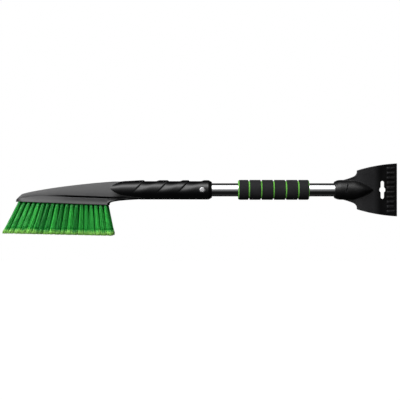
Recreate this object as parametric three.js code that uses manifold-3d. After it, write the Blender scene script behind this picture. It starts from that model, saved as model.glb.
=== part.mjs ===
// A car snow broom: a brush head with an integral grip, locked by a snap button on an aluminium
// tube that carries a foam grip and an ice scraper.
// Millimetres. +X runs along the pole from the brush to the scraper, +Z is up, and the bristles
// point down. The origin lies under the middle of the object, level with the lowest bristle tips.
import * as THREE from "three";
import { mergeVertices } from "three/addons/utils/BufferGeometryUtils.js";
import Module from "manifold-3d";

const wasm = await Module();
wasm.setup();

// ---- driving dimensions -----------------------------------------------------------------------
const LENGTH = 683; // bristle tip to scraper edge
const POLE_Z = 78.8; // height of the pole's axis
const GAP = 0.3; // air between two pieces that touch on the real object
const ROUND = 48; // facets around the pole
const EDGE_X = LENGTH / 2; // the scraper's edge

// tube
const TUBE = { radius: 11.5, wall: 1, start: -130, end: 270 };

// brush head: block, then the grip handle, which runs into the block's roof as a tongue
const NOSE_X = -322.3;
const BLOCK_END_X = -162.5;
const NECK_X = -105; // the round handle begins here
const TONGUE_X = -174; // the tongue's end, inside the block
const MOUTH_X = 18; // the handle's open end
const HANDLE_RADIUS = 16.9;
const BORE_RADIUS = TUBE.radius + GAP;
const BLOCK_HALF_WIDTH = 22;
const FACE = { z: 57.8, x: -314.5, slope: -0.0381 }; // the face that holds the bristles
const CROWN = { slope: 0.0318, curve: 0.00038 }; // how the top line falls towards the nose
const NOSE = { z: 61, rise: 0.93 }; // the slanted nose
const RIM_HEIGHT = 13.2;
const RIM_LEAN = { atNose: 2.3, atHandle: 0.3, from: -285, to: -215 }; // how far its top leans in
const ROOF = { start: -268, wide: 19.6, narrow: 9.8 }; // half width at the roof's foot
const COVE_HEIGHT = 3.2; // from the shelf on the rim up to the roof's side
const MOUTH = { length: 6.5, round: 3.3 }; // the handle's rounded end
const FINGER = { depth: 1.9, spans: [[-100, -76], [-58.3, -34.6], [-21.3, 2.1]], ramp: 3.5 };

// bristles: columns of tufts along the block, rows of tufts across it
const COLUMNS = 19;
const ROWS = 5;
const ROOT = { x: -313.6, pitch: 8.17 };
const TIP = { x: -338.9, pitch: 10.04, liftAtNose: 3.9 };
const ROW_PITCH = 9;
const TUFT_ROOT = 5.2; // tuft diameter at the block
const TUFT_TIP = 8.8; // along the block, at the tips
const FLARE = 2.6; // how far the outer rows lean out at the tips
const MERGE = 0.72; // share of the length at which neighbouring tufts meet

// snap button and its spring
const BUTTON = { x: 1.2, radius: 4.6, top: 17.7, base: 9.5, dome: 0.8 };
const SPRING = { width: 8, thick: 0.8, legY: 9.2, back: -40, front: 8 };

// foam grip
const GRIP = { start: 63.7, end: 187, radius: 17.4, core: 15.2, pitch: 21.4, groove: 2.3 };
const GROOVES = 5;
const RING_BEVEL = 1.2;

// ice scraper
const SOCKET = { mouth: 231.5, radius: 17.3, dome: 264, tip: 297, power: 1.35 };
const SHOULDER = { x: 271.4, inner: 30, half: 34 };
const EDGE_HALF = 46.4;
const BLADE = { back: 3.5, shoulderFront: -5.5, edgeFront: 1.5 };
const SLOT = { x: 315.7, half: 15.75, radius: 3.3, bulge: 5.6 };
const RIBS = { count: 10, pitch: 8.37, start: 323.2, end: 337.6, width: 3.4, height: 1.6 };
const RIVET = { x: 250, head: 3.6, shank: 2, headHeight: 1.6 };

// ---- materials ----------------------------------------------------------------------------------
const finish = (color, roughness, metalness = 0) =>
  new THREE.MeshStandardMaterial({ color, roughness, metalness });
const BLACK_PLASTIC = finish(0x141416, 0.4);
const GREEN_BRISTLE = finish(0x219a3a, 0.6);
const BRIGHT_ALUMINIUM = finish(0xd4d6d8, 0.25, 1);
const BLACK_FOAM = finish(0x2a2b2d, 0.95);
const GREEN_FOAM = finish(0x6cb34a, 0.9);
const BRIGHT_STEEL = finish(0xb9bbbe, 0.3, 1);

// ---- helpers ------------------------------------------------------------------------------------
const { lerp, clamp, smoothstep } = THREE.MathUtils;

function solid(geometry) {
  const bare = geometry.index ? geometry.toNonIndexed() : geometry.clone();
  bare.deleteAttribute("normal");
  bare.deleteAttribute("uv");
  const merged = mergeVertices(bare, 1e-4);
  const vertProperties = merged.attributes.position.array;
  const triVerts = new Uint32Array(merged.index.array);
  return new wasm.Manifold(new wasm.Mesh({ numProp: 3, vertProperties, triVerts }));
}

function geometryOf(made) {
  const mesh = made.getMesh();
  const geometry = new THREE.BufferGeometry();
  geometry.setAttribute("position", new THREE.BufferAttribute(mesh.vertProperties, 3));
  geometry.setIndex(new THREE.BufferAttribute(mesh.triVerts, 1));
  geometry.computeVertexNormals();
  return geometry;
}

// A closed turned piece on the pole's axis. The profile is a list of [x, radius].
function turned(profile, facets = ROUND) {
  const points = profile.map(([x, r]) => new THREE.Vector2(r, x));
  const lathe = new THREE.LatheGeometry(points, facets);
  return lathe.rotateZ(-Math.PI / 2).translate(0, 0, POLE_Z);
}

// A cylinder across the pole, along Y between two depths.
function crossPin(x, radius, fromY, toY, facets = 24) {
  const pin = new THREE.CylinderGeometry(radius, radius, toY - fromY, facets);
  return pin.translate(x, (fromY + toY) / 2, POLE_Z);
}

// A closed surface through rings of points, each with the same number of points.
function lofted(rings) {
  const count = rings[0].length;
  const last = rings.length - 1;
  const points = rings.flat(2);
  const faces = [];
  for (let ring = 0; ring < last; ring++) {
    for (let i = 0; i < count; i++) {
      const a = ring * count + i;
      const b = ring * count + ((i + 1) % count);
      faces.push(a, b, a + count, b, b + count, a + count);
    }
  }
  for (let i = 1; i < count - 1; i++) {
    faces.push(0, i + 1, i);
    faces.push(last * count, last * count + i, last * count + i + 1);
  }
  const geometry = new THREE.BufferGeometry();
  geometry.setAttribute("position", new THREE.Float32BufferAttribute(points, 3));
  return geometry.setIndex(faces);
}

// ---- brush head -----------------------------------------------------------------------------------
const faceZ = (x) => FACE.z + FACE.slope * (x - FACE.x);

function crownFall(x) {
  const run = Math.max(NECK_X - x, 0);
  return CROWN.slope * run + CROWN.curve * run * run;
}

// The block's top line. It ends just inside the handle.
function crownZ(x) {
  const sunk = 0.3 * smoothstep(x, -135, NECK_X);
  const curve = POLE_Z + HANDLE_RADIUS - crownFall(x) - sunk;
  return Math.min(curve, NOSE.z + NOSE.rise * (x - NOSE_X));
}

// From 0 at the block's end to 1 at the neck.
const pastBlock = (x) => clamp((x - BLOCK_END_X) / (NECK_X - BLOCK_END_X), 0, 1);

function undersideZ(x) {
  const handleZ = POLE_Z - HANDLE_RADIUS + 0.4;
  return lerp(faceZ(Math.min(x, BLOCK_END_X)), handleZ, pastBlock(x) ** 0.25);
}

function blockHalfWidth(x) {
  const inFromNose = clamp((x - NOSE_X) / 18, 0, 1);
  const nose = lerp(9, BLOCK_HALF_WIDTH, (1 - (1 - inFromNose) ** 2.4) ** 0.5);
  return lerp(nose, 3, pastBlock(x) ** 1.25);
}

// How far the rim's top lies inside its foot: it leans at the nose and stands upright further back.
function rimLean(x) {
  const lean = lerp(RIM_LEAN.atNose, RIM_LEAN.atHandle, smoothstep(x, RIM_LEAN.from, RIM_LEAN.to));
  return (lean * blockHalfWidth(x)) / BLOCK_HALF_WIDTH;
}

// Half width at the foot of the roof, which narrows towards the handle.
function roofHalfWidth(x) {
  const along = clamp((x - ROOF.start) / (NECK_X - ROOF.start), 0, 1);
  const wide = lerp(ROOF.narrow, ROOF.wide, (1 - along) ** 0.85);
  return wide * Math.min(1, blockHalfWidth(Math.min(x, BLOCK_END_X)) / BLOCK_HALF_WIDTH);
}

// The roof's side: share of its height, share of its half width.
const ROOF_SIDE = [
  [0.25, 0.955],
  [0.5, 0.9],
  [0.75, 0.84],
  [0.93, 0.79],
  [0.98, 0.75],
  [1, 0.66],
  [1, 0],
];

// One half of the block's section at x, from the bottom to the crown: flat face, upright rim, a
// shelf with a cove, and the roof.
function blockHalfSection(x) {
  const half = blockHalfWidth(x);
  const foot = Math.min(roofHalfWidth(x), half + 8);
  const bottom = undersideZ(x);
  const crown = crownZ(x);
  const face = faceZ(Math.min(x, BLOCK_END_X));
  const rimTop = face + Math.min(RIM_HEIGHT, 0.55 * (crown - face));
  const edge = Math.min(1, 0.3 * (rimTop - bottom));
  const cove = Math.min(COVE_HEIGHT, 0.12 * (crown - face));
  const lean = rimLean(x);
  const shelf = half - lean - foot;
  const points = [0, 1, 2, 3].map((i) => [((half - edge) * i) / 3, bottom]);
  points.push([half, bottom + edge]);
  points.push([half - Math.max(0.4, 0.6 * lean), lerp(bottom, rimTop, 0.55)]);
  points.push([half - lean, rimTop - 0.5 * edge]);
  points.push([half - lean - 0.3 * edge, rimTop]);
  points.push([foot + 0.3 * shelf, rimTop + 0.12 * cove]);
  points.push([foot + 0.08 * shelf, rimTop + 0.45 * cove]);
  const roofFoot = rimTop + cove;
  points.push([foot, roofFoot]);
  for (const [up, out] of ROOF_SIDE) {
    points.push([foot * out, lerp(roofFoot, crown, up)]);
  }
  return points;
}

// Height lost on top of the handle in its three finger dips.
function fingerDip(x) {
  const { depth, spans, ramp } = FINGER;
  const inSpan = ([from, to]) =>
    smoothstep(x, from - ramp / 2, from + ramp / 2) * (1 - smoothstep(x, to - ramp, to + ramp));
  return depth * Math.max(...spans.map(inSpan));
}

function handleRadius(x) {
  const tongue = 0.25 * smoothstep(NECK_X - x, 0, 20);
  const rounding = MOUTH.round * clamp((x - MOUTH_X) / MOUTH.length + 1, 0, 1) ** 1.2;
  return HANDLE_RADIUS - crownFall(x) - tongue - rounding;
}

const HANDLE_HALF_POINTS = 20;

function handleHalfSection(x) {
  const points = [];
  for (let i = 0; i <= HANDLE_HALF_POINTS; i++) {
    const angle = (i / HANDLE_HALF_POINTS - 0.5) * Math.PI;
    const radius = handleRadius(x) - fingerDip(x) * smoothstep(Math.sin(angle), 0, 1);
    points.push([radius * Math.cos(angle), POLE_Z + radius * Math.sin(angle)]);
  }
  return points;
}

// A whole ring at x from one half of it, whose first and last points lie on the middle plane.
function mirrored(x, half) {
  const other = half.slice(1, -1).reverse();
  return [...half.map(([y, z]) => [x, y, z]), ...other.map(([y, z]) => [x, -y, z])];
}

function blockStations() {
  const nose = [0, 1, 2.5, 4.5, 7, 9.5, 12, 15, 19].map((step) => NOSE_X + step);
  const block = [-288, -268, -248, -228, -208, -193, -178];
  const notch = [0, 0.1, 0.5, 1.6, 4, 9, 17, 27, 37, 47, 57.5].map((step) => BLOCK_END_X + step);
  return [...nose, ...block, ...notch];
}

function handleStations() {
  const { spans, ramp } = FINGER;
  const tongue = [TONGUE_X, -160, -147, -134, -121, -110];
  const dips = spans.flatMap(([from, to]) => [
    ...[-0.5, -0.17, 0.17, 0.5].map((share) => from + share * ramp),
    ...[-1, -0.35, 0.35, 1].map((share) => to + share * ramp),
  ]);
  const mouth = [0, 0.3, 0.6, 0.85, 1].map((share) => MOUTH_X - MOUTH.length * (1 - share));
  return [...tongue, ...dips, ...mouth];
}

function brushHead() {
  const block = solid(lofted(blockStations().map((x) => mirrored(x, blockHalfSection(x)))));
  const handle = solid(lofted(handleStations().map((x) => mirrored(x, handleHalfSection(x)))));
  const body = block.add(handle);
  const boreEnd = TUBE.start - GAP;
  const lead = BORE_RADIUS + 0.5; // lead-in at the mouth
  const bore = turned([
    [boreEnd, 0],
    [boreEnd, BORE_RADIUS],
    [MOUTH_X - 1, BORE_RADIUS],
    [MOUTH_X + 0.2, lead],
    [MOUTH_X + 1, lead],
    [MOUTH_X + 1, 0],
  ]);
  const hole = crossPin(BUTTON.x, BUTTON.radius + 0.6, -HANDLE_RADIUS - 2, 0);
  return geometryOf(body.subtract(solid(bore)).subtract(solid(hole)));
}

// ---- bristles -------------------------------------------------------------------------------------
// One column of tufts across the block: a comb whose teeth widen until they meet near the tips,
// which also grows thicker along the block towards the tips.
function bristleColumn(index) {
  const rootX = ROOT.x + ROOT.pitch * index;
  const rootZ = faceZ(rootX) - GAP;
  const tipX = TIP.x + TIP.pitch * index;
  const tipZ = TIP.liftAtNose * (1 - index / (COLUMNS - 1));
  const lean = Math.atan2(tipX - rootX, rootZ - tipZ);
  // A leaning end face has one side higher and one side lower than its middle.
  const topZ = rootZ - (TUFT_ROOT / 2) * Math.abs(Math.sin(lean));
  const bottomZ = tipZ + (TUFT_TIP / 2) * Math.abs(Math.sin(lean));
  const length = (topZ - bottomZ) / Math.cos(lean);
  const outer = ((ROWS - 1) / 2) * ROW_PITCH;
  const comb = new THREE.Shape();
  comb.moveTo(-outer - TUFT_ROOT / 2, 0);
  for (let gap = 0; gap < ROWS - 1; gap++) {
    const middle = -outer + (gap + 0.5) * ROW_PITCH;
    comb.lineTo(middle - (ROW_PITCH - TUFT_ROOT) / 2, 0);
    comb.lineTo(middle, -length * MERGE);
    comb.lineTo(middle + (ROW_PITCH - TUFT_ROOT) / 2, 0);
  }
  comb.lineTo(outer + TUFT_ROOT / 2, 0);
  comb.lineTo(outer + TUFT_ROOT / 2 + FLARE, -length);
  comb.lineTo(-outer - TUFT_ROOT / 2 - FLARE, -length);
  comb.closePath();
  const geometry = new THREE.ExtrudeGeometry(comb, { depth: 1, bevelEnabled: false });
  geometry.translate(0, 0, -0.5);
  const at = geometry.attributes.position;
  for (let i = 0; i < at.count; i++) {
    const along = -at.getY(i) / length;
    at.setZ(i, at.getZ(i) * lerp(TUFT_ROOT, TUFT_TIP, along));
  }
  geometry.rotateX(Math.PI / 2).rotateZ(Math.PI / 2).rotateY(-lean);
  return geometry.translate(rootX, 0, topZ);
}

// ---- tube, button and spring ------------------------------------------------------------------------
function poleTube() {
  const { radius, wall, start, end } = TUBE;
  const inner = radius - wall;
  const tube = turned([
    [start, inner],
    [start, radius],
    [end, radius],
    [end, inner],
    [start, inner],
  ]);
  const buttonHole = crossPin(BUTTON.x, BUTTON.radius + GAP, -radius - 1, 0);
  const rivetHole = crossPin(RIVET.x, RIVET.shank + GAP, 0, radius + 1);
  return geometryOf(solid(tube).subtract(solid(buttonHole)).subtract(solid(rivetHole)));
}

function lockButton() {
  const { x, radius, top, base, dome } = BUTTON;
  const profile = [
    [0, base],
    [radius, base],
    [radius, top - dome - 0.6],
    [radius - 0.5, top - dome],
    [radius * 0.55, top - 0.25],
    [0, top],
  ].map(([r, h]) => new THREE.Vector2(r, h));
  return new THREE.LatheGeometry(profile, 32).rotateX(Math.PI).translate(x, 0, POLE_Z);
}

// A V of spring steel, its bend towards the brush, one leg behind the button, one on the far wall.
function lockSpring() {
  const { width, thick, legY, back, front } = SPRING;
  const inner = legY - thick;
  const v = new THREE.Shape();
  v.moveTo(front, -legY);
  v.lineTo(BUTTON.x - 8, -legY);
  v.quadraticCurveTo(back - 6, 0, front, legY);
  v.lineTo(front, inner);
  v.quadraticCurveTo(back + 2 * thick - 6, 0, BUTTON.x - 8, -inner);
  v.lineTo(front, -inner);
  v.closePath();
  const spring = new THREE.ExtrudeGeometry(v, { depth: width, bevelEnabled: false, curveSegments: 10 });
  return spring.translate(0, 0, POLE_Z - width / 2);
}

// ---- foam grip ----------------------------------------------------------------------------------------
function gripCore() {
  const inner = TUBE.radius + GAP;
  const outer = GRIP.core;
  const inset = 0.2; // the core's ends stop this far inside the outer rings' ends
  return turned([
    [GRIP.start + inset, inner],
    [GRIP.start + inset, outer],
    [GRIP.end - inset, outer],
    [GRIP.end - inset, inner],
    [GRIP.start + inset, inner],
  ]);
}

function gripRing(index) {
  const middle = (GRIP.start + GRIP.end) / 2;
  const grooveX = (number) => middle + (number - (GROOVES - 1) / 2) * GRIP.pitch;
  const from = index === 0 ? GRIP.start : grooveX(index - 1) + GRIP.groove / 2;
  const to = index === GROOVES ? GRIP.end : grooveX(index) - GRIP.groove / 2;
  const inner = GRIP.core + GAP;
  return turned([
    [from, inner],
    [from, GRIP.radius - RING_BEVEL],
    [from + RING_BEVEL, GRIP.radius],
    [to - RING_BEVEL, GRIP.radius],
    [to, GRIP.radius - RING_BEVEL],
    [to, inner],
    [from, inner],
  ], 36);
}

// ---- ice scraper ----------------------------------------------------------------------------------------
// Outline of the blade and the flare that joins it to the socket, drawn in X and the distance from
// the pole's axis.
function bladeOutline() {
  const start = SOCKET.mouth + 12.5;
  const side = new THREE.Path();
  side.moveTo(start, 16.4);
  side.quadraticCurveTo(start + 14, 19.9, start + 22, 23.5);
  side.quadraticCurveTo(SHOULDER.x - 1, 26, SHOULDER.x - 0.2, SHOULDER.inner);
  side.lineTo(SHOULDER.x, SHOULDER.half);
  side.quadraticCurveTo(EDGE_X - 37, EDGE_HALF - 2, EDGE_X, EDGE_HALF);
  const upper = side.getPoints(8);
  const lower = upper.map((point) => new THREE.Vector2(point.x, -point.y)).reverse();
  return new THREE.Shape([...upper, ...lower]);
}

// The hanging slot: a long slot with a wider round middle.
function slotOutline() {
  const { x, half, radius, bulge } = SLOT;
  const slot = new THREE.Shape();
  const straight = half - radius;
  const joins = Math.asin(radius / bulge);
  slot.absarc(x, straight, radius, 0, Math.PI);
  slot.absarc(x, 0, bulge, Math.PI / 2 + joins, (3 * Math.PI) / 2 - joins);
  slot.absarc(x, -straight, radius, Math.PI, 2 * Math.PI);
  slot.absarc(x, 0, bulge, -Math.PI / 2 + joins, Math.PI / 2 - joins);
  slot.closePath();
  return slot;
}

// A flat outline stood up in X and Z, filling Y from one depth to another.
function plate(outline, fromY, toY, curveSegments = 8) {
  const depth = toY - fromY;
  const flat = new THREE.ExtrudeGeometry(outline, { depth, bevelEnabled: false, curveSegments });
  return flat.rotateX(Math.PI / 2).translate(0, toY, POLE_Z);
}

// Depth of the blade's front, which thins in an easy curve from the shoulders to the edge.
function frontY(x) {
  return lerp(BLADE.shoulderFront, BLADE.edgeFront, smoothstep(x, SHOULDER.x, EDGE_X + 5));
}

// What is cut off the blade's front.
function bladeWedge() {
  const { shoulderFront } = BLADE;
  const length = EDGE_X + 5 - SHOULDER.x;
  const steps = 10;
  const cut = new THREE.Shape();
  cut.moveTo(SHOULDER.x, shoulderFront - 20);
  for (let step = 0; step <= steps; step++) {
    const x = SHOULDER.x + (length * step) / steps;
    cut.lineTo(x, frontY(x));
  }
  cut.lineTo(EDGE_X + 5, shoulderFront - 20);
  cut.closePath();
  const wedge = new THREE.ExtrudeGeometry(cut, { depth: 3 * EDGE_HALF, bevelEnabled: false });
  return wedge.translate(0, 0, POLE_Z - 1.5 * EDGE_HALF);
}

// One ice-breaking rib on the blade's front, with sloping ends.
function iceRib(index) {
  const { start, end, height, width, pitch, count } = RIBS;
  const side = new THREE.Shape();
  side.moveTo(start, frontY(start) + 0.5);
  side.lineTo(start, frontY(start));
  side.lineTo(start + height, frontY(start) - height);
  side.lineTo(end - height, frontY(end) - height);
  side.lineTo(end, frontY(end));
  side.lineTo(end, frontY(end) + 0.5);
  side.closePath();
  const rib = new THREE.ExtrudeGeometry(side, { depth: width, bevelEnabled: false });
  return rib.translate(0, 0, POLE_Z + (index - (count - 1) / 2) * pitch - width / 2);
}

function iceScraper() {
  const { mouth, radius, dome, tip, power } = SOCKET;
  const profile = [
    [mouth, 0],
    [mouth, radius - 3.4],
    [mouth + 0.7, radius - 2.6],
    [mouth + 2.3, radius - 1.6],
    [mouth + 5, radius - 0.8],
    [mouth + 9, radius - 0.1],
    [mouth + 13, radius],
    [dome, radius],
  ];
  const domeSteps = 8;
  for (let step = 1; step <= domeSteps; step++) {
    const u = step / domeSteps;
    profile.push([lerp(dome, tip, u), radius * (1 - u ** power)]);
  }
  let body = solid(plate(bladeOutline(), BLADE.shoulderFront, BLADE.back));
  body = body.subtract(solid(bladeWedge()));
  for (let index = 0; index < RIBS.count; index++) {
    body = body.add(solid(iceRib(index)));
  }
  body = body.subtract(solid(plate(slotOutline(), -20, 20)));
  body = body.add(solid(turned(profile)));
  const bore = turned([
    [mouth - 1, 0],
    [mouth - 1, BORE_RADIUS],
    [TUBE.end + GAP, BORE_RADIUS],
    [TUBE.end + GAP, 0],
  ]);
  const rivetHole = crossPin(RIVET.x, RIVET.shank + GAP, 0, radius + 3);
  return geometryOf(body.subtract(solid(bore)).subtract(solid(rivetHole)));
}

function scraperRivet() {
  const { head, shank, headHeight } = RIVET;
  const seat = SOCKET.radius + GAP;
  const profile = [
    [0, TUBE.radius - TUBE.wall - 1.2],
    [shank, TUBE.radius - TUBE.wall - 1.2],
    [shank, seat],
    [head, seat],
    [head * 0.9, seat + headHeight * 0.6],
    [head * 0.5, seat + headHeight * 0.95],
    [0, seat + headHeight],
  ].map(([r, h]) => new THREE.Vector2(r, h));
  return new THREE.LatheGeometry(profile, 20).translate(RIVET.x, 0, POLE_Z);
}

// ---- assembly ---------------------------------------------------------------------------------------------
const broom = new THREE.Group();

function add(name, geometry, material) {
  const mesh = new THREE.Mesh(geometry, material);
  mesh.name = name;
  broom.add(mesh);
}

add("brush_head", brushHead(), BLACK_PLASTIC);
for (let index = 0; index < COLUMNS; index++) {
  const number = String(index + 1).padStart(2, "0");
  add(`bristle_column_${number}`, bristleColumn(index), GREEN_BRISTLE);
}
add("pole_tube", poleTube(), BRIGHT_ALUMINIUM);
add("lock_button", lockButton(), BRIGHT_STEEL);
add("lock_spring", lockSpring(), BRIGHT_STEEL);
add("grip_core", gripCore(), GREEN_FOAM);
for (let index = 0; index <= GROOVES; index++) {
  add(`grip_ring_${index + 1}`, gripRing(index), BLACK_FOAM);
}
add("ice_scraper", iceScraper(), BLACK_PLASTIC);
add("scraper_rivet", scraperRivet(), BRIGHT_STEEL);

export default broom;
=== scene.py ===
"""Snow broom: the finished surface of every piece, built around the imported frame."""
import math

import bmesh
import bpy
import numpy as np
from bpy.props import FloatProperty, FloatVectorProperty, IntProperty, PointerProperty
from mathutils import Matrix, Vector


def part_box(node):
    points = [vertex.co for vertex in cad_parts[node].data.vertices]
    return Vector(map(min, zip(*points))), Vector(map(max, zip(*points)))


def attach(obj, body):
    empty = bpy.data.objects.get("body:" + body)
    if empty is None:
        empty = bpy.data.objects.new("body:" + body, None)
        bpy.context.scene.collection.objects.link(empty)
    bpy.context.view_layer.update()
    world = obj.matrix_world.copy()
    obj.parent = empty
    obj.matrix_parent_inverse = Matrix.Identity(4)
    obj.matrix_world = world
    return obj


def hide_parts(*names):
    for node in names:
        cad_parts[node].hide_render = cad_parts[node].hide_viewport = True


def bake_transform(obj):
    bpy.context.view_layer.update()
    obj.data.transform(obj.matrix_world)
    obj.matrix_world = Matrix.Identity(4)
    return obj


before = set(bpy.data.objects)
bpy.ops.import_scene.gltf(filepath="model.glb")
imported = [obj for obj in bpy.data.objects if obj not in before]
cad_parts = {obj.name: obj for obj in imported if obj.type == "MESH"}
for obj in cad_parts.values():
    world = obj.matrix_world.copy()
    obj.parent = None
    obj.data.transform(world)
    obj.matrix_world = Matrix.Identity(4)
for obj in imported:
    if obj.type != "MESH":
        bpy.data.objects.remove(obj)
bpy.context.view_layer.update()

bl_info = {
    "name": "Snow Broom",
    "version": (1, 0, 0),
    "blender": (4, 5, 0),
    "location": "3D View > Sidebar > Snow Broom",
    "description": "A car snow broom with fanned bristles, a foam grip and an ice scraper",
    "category": "Add Mesh",
}

MM = 0.001

# ---- places read from the frame ------------------------------------------------------------------
TUBE_LOW, TUBE_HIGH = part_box("pole_tube")
HEAD_LOW, HEAD_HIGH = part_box("brush_head")
BUTTON_LOW, BUTTON_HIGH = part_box("lock_button")
SPRING_LOW, SPRING_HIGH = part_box("lock_spring")
CORE_LOW, CORE_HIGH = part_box("grip_core")
SCRAPER_LOW, SCRAPER_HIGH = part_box("ice_scraper")
RIVET_LOW, RIVET_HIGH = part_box("scraper_rivet")

POLE_Z = (TUBE_LOW.z + TUBE_HIGH.z) / 2
TUBE_RADIUS = (TUBE_HIGH.z - TUBE_LOW.z) / 2
TUBE_WALL = 1 * MM
HANDLE_RADIUS = HEAD_HIGH.z - POLE_Z
NOSE_X = HEAD_LOW.x
MOUTH_X = HEAD_HIGH.x
BUTTON_X = (BUTTON_LOW.x + BUTTON_HIGH.x) / 2
BUTTON_RADIUS = (BUTTON_HIGH.x - BUTTON_LOW.x) / 2
COLUMNS = sorted(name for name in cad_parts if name.startswith("bristle_column"))
RINGS = sorted(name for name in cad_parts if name.startswith("grip_ring"))

RIVET_X = (RIVET_LOW.x + RIVET_HIGH.x) / 2

CLEARANCE = 0.3 * MM  # between parts that are pushed together
RIVET_HOLE_RADIUS = 2.3 * MM
BORE_RADIUS = TUBE_RADIUS + CLEARANCE


# ---- what a user would change --------------------------------------------------------------------
class BroomSizes(bpy.types.PropertyGroup):
    """Sizes of the fine detail."""

    filaments: IntProperty(
        name="Filaments", description="Filaments in each tuft", default=130, min=20, max=200)
    split_ends: IntProperty(
        name="Split ends", description="Ends into which each filament splits", default=3, min=1, max=5)
    filament_radius: FloatProperty(
        name="Filament radius", description="Radius of one filament at its root",
        default=0.24 * MM, unit="LENGTH", precision=5)
    crimp: FloatProperty(
        name="Crimp", description="How far a filament waves from side to side",
        default=0.35 * MM, unit="LENGTH", precision=5)
    twist_depth: FloatProperty(
        name="Twist depth", description="Depth of the slanted steps in the handle",
        default=1.7 * MM, unit="LENGTH", precision=5)
    finger_depth: FloatProperty(
        name="Finger depth", description="Depth of the finger dips on top of the handle",
        default=1.7 * MM, unit="LENGTH", precision=5)
    foam_edge: FloatProperty(
        name="Foam edge", description="Radius of the foam bands' edges",
        default=1.6 * MM, unit="LENGTH", precision=5)


class BroomColours(bpy.types.PropertyGroup):
    """Colours of the finishes, in linear light."""

    plastic: FloatVectorProperty(
        name="Plastic", description="Glossy black plastic of the handle and the scraper",
        subtype="COLOR", size=4, default=(0.003, 0.003, 0.0032, 1))
    block: FloatVectorProperty(
        name="Block", description="Matt black plastic of the block that holds the bristles",
        subtype="COLOR", size=4, default=(0.032, 0.032, 0.033, 1))
    bristle: FloatVectorProperty(
        name="Bristle", description="Filaments along most of their length",
        subtype="COLOR", size=4, default=(0.010, 0.45, 0.055, 1))
    bristle_tip: FloatVectorProperty(
        name="Bristle tip", description="Split ends of the filaments",
        subtype="COLOR", size=4, default=(0.45, 0.95, 0.20, 1))
    foam_black: FloatVectorProperty(
        name="Foam, outer", description="Black outer foam of the grip",
        subtype="COLOR", size=4, default=(0.010, 0.010, 0.011, 1))
    foam_green: FloatVectorProperty(
        name="Foam, inner", description="Green inner foam of the grip",
        subtype="COLOR", size=4, default=(0.13, 0.42, 0.06, 1))
    aluminium: FloatVectorProperty(
        name="Aluminium", description="Tube and rivet",
        subtype="COLOR", size=4, default=(0.86, 0.87, 0.88, 1))
    steel: FloatVectorProperty(
        name="Steel", description="Lock button and its spring",
        subtype="COLOR", size=4, default=(0.78, 0.78, 0.79, 1))


# ---- shared shader groups ------------------------------------------------------------------------
def link(tree, source, target):
    """Links two sockets."""
    tree.links.new(source, target)


def add_node(tree, kind, inputs=None, **settings):
    """A node with its settings. Its inputs go by name or number, and each is a socket or a value."""
    node = tree.nodes.new(kind)
    for name, value in settings.items():
        setattr(node, name, value)
    for key, value in (inputs or {}).items():
        if isinstance(value, bpy.types.NodeSocket):
            link(tree, value, node.inputs[key])
        else:
            node.inputs[key].default_value = value
    return node


def math_node(tree, operation, *operands):
    """The result of a math node; each operand is a socket or a number."""
    return add_node(tree, "ShaderNodeMath", dict(enumerate(operands)), operation=operation).outputs[0]


def scaled(tree, value, factor, offset):
    """A value times a factor plus an offset."""
    return math_node(tree, "MULTIPLY_ADD", value, factor, offset)


def spread(tree, value, low, high, to_low, to_high):
    """Maps a value from one range to another, smoothly and within its ends."""
    numbers = dict(enumerate((value, low, high, to_low, to_high)))
    return add_node(tree, "ShaderNodeMapRange", numbers, interpolation_type="SMOOTHSTEP").outputs[0]


def noise(tree, coordinates, scale, detail=2.0, roughness=0.5):
    """A noise value at the coordinates."""
    return add_node(tree, "ShaderNodeTexNoise", {
        "Vector": coordinates, "Scale": scale, "Detail": detail, "Roughness": roughness}).outputs["Fac"]


def cells(tree, coordinates, scale, feature="F1"):
    """The distance to the middle of the nearest cell."""
    inputs = {"Vector": coordinates, "Scale": scale}
    return add_node(tree, "ShaderNodeTexVoronoi", inputs, feature=feature).outputs["Distance"]


def drawn_out(tree, coordinates, along):
    """Coordinates that change slowly along the pole, so that marks become lines."""
    return add_node(tree, "ShaderNodeMapping", {"Vector": coordinates, "Scale": (along, 1.0, 1.0)}).outputs[0]


def new_group(name, inputs, outputs):
    """A shader node group with float inputs, given as (name, default), and float outputs. Returns
    the group, its inputs, its outputs and the object's coordinates."""
    group = bpy.data.node_groups.new(name, "ShaderNodeTree")
    for label, default in inputs:
        socket = group.interface.new_socket(label, in_out="INPUT", socket_type="NodeSocketFloat")
        socket.default_value = default
    for label in outputs:
        group.interface.new_socket(label, in_out="OUTPUT", socket_type="NodeSocketFloat")
    place = add_node(group, "ShaderNodeTexCoord").outputs["Object"]
    return group, add_node(group, "NodeGroupInput").outputs, add_node(group, "NodeGroupOutput").inputs, place


def grain_group():
    """Moulded grain: a fine pebbled height."""
    group, given, out, place = new_group("Moulded grain", [("Scale", 1400.0)], ["Height"])
    pebbles = math_node(group, "MULTIPLY", cells(group, place, given["Scale"], "SMOOTH_F1"), 0.6)
    fine = noise(group, place, given["Scale"], detail=3.0)
    link(group, math_node(group, "ADD", pebbles, fine), out["Height"])
    return group


def handling_group():
    """Handling marks: broad soft patches with faint streaks along the pole."""
    group, given, out, place = new_group(
        "Handling marks", [("Patches", 22.0), ("Streaks", 60.0)], ["Patch", "Streak"])
    patches = noise(group, place, given["Patches"], detail=4.0, roughness=0.6)
    streaks = noise(group, drawn_out(group, place, 0.06), given["Streaks"], detail=3.0)
    link(group, spread(group, patches, 0.35, 0.7, 0, 1), out["Patch"])
    link(group, spread(group, streaks, 0.4, 0.7, 0, 1), out["Streak"])
    return group


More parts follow.
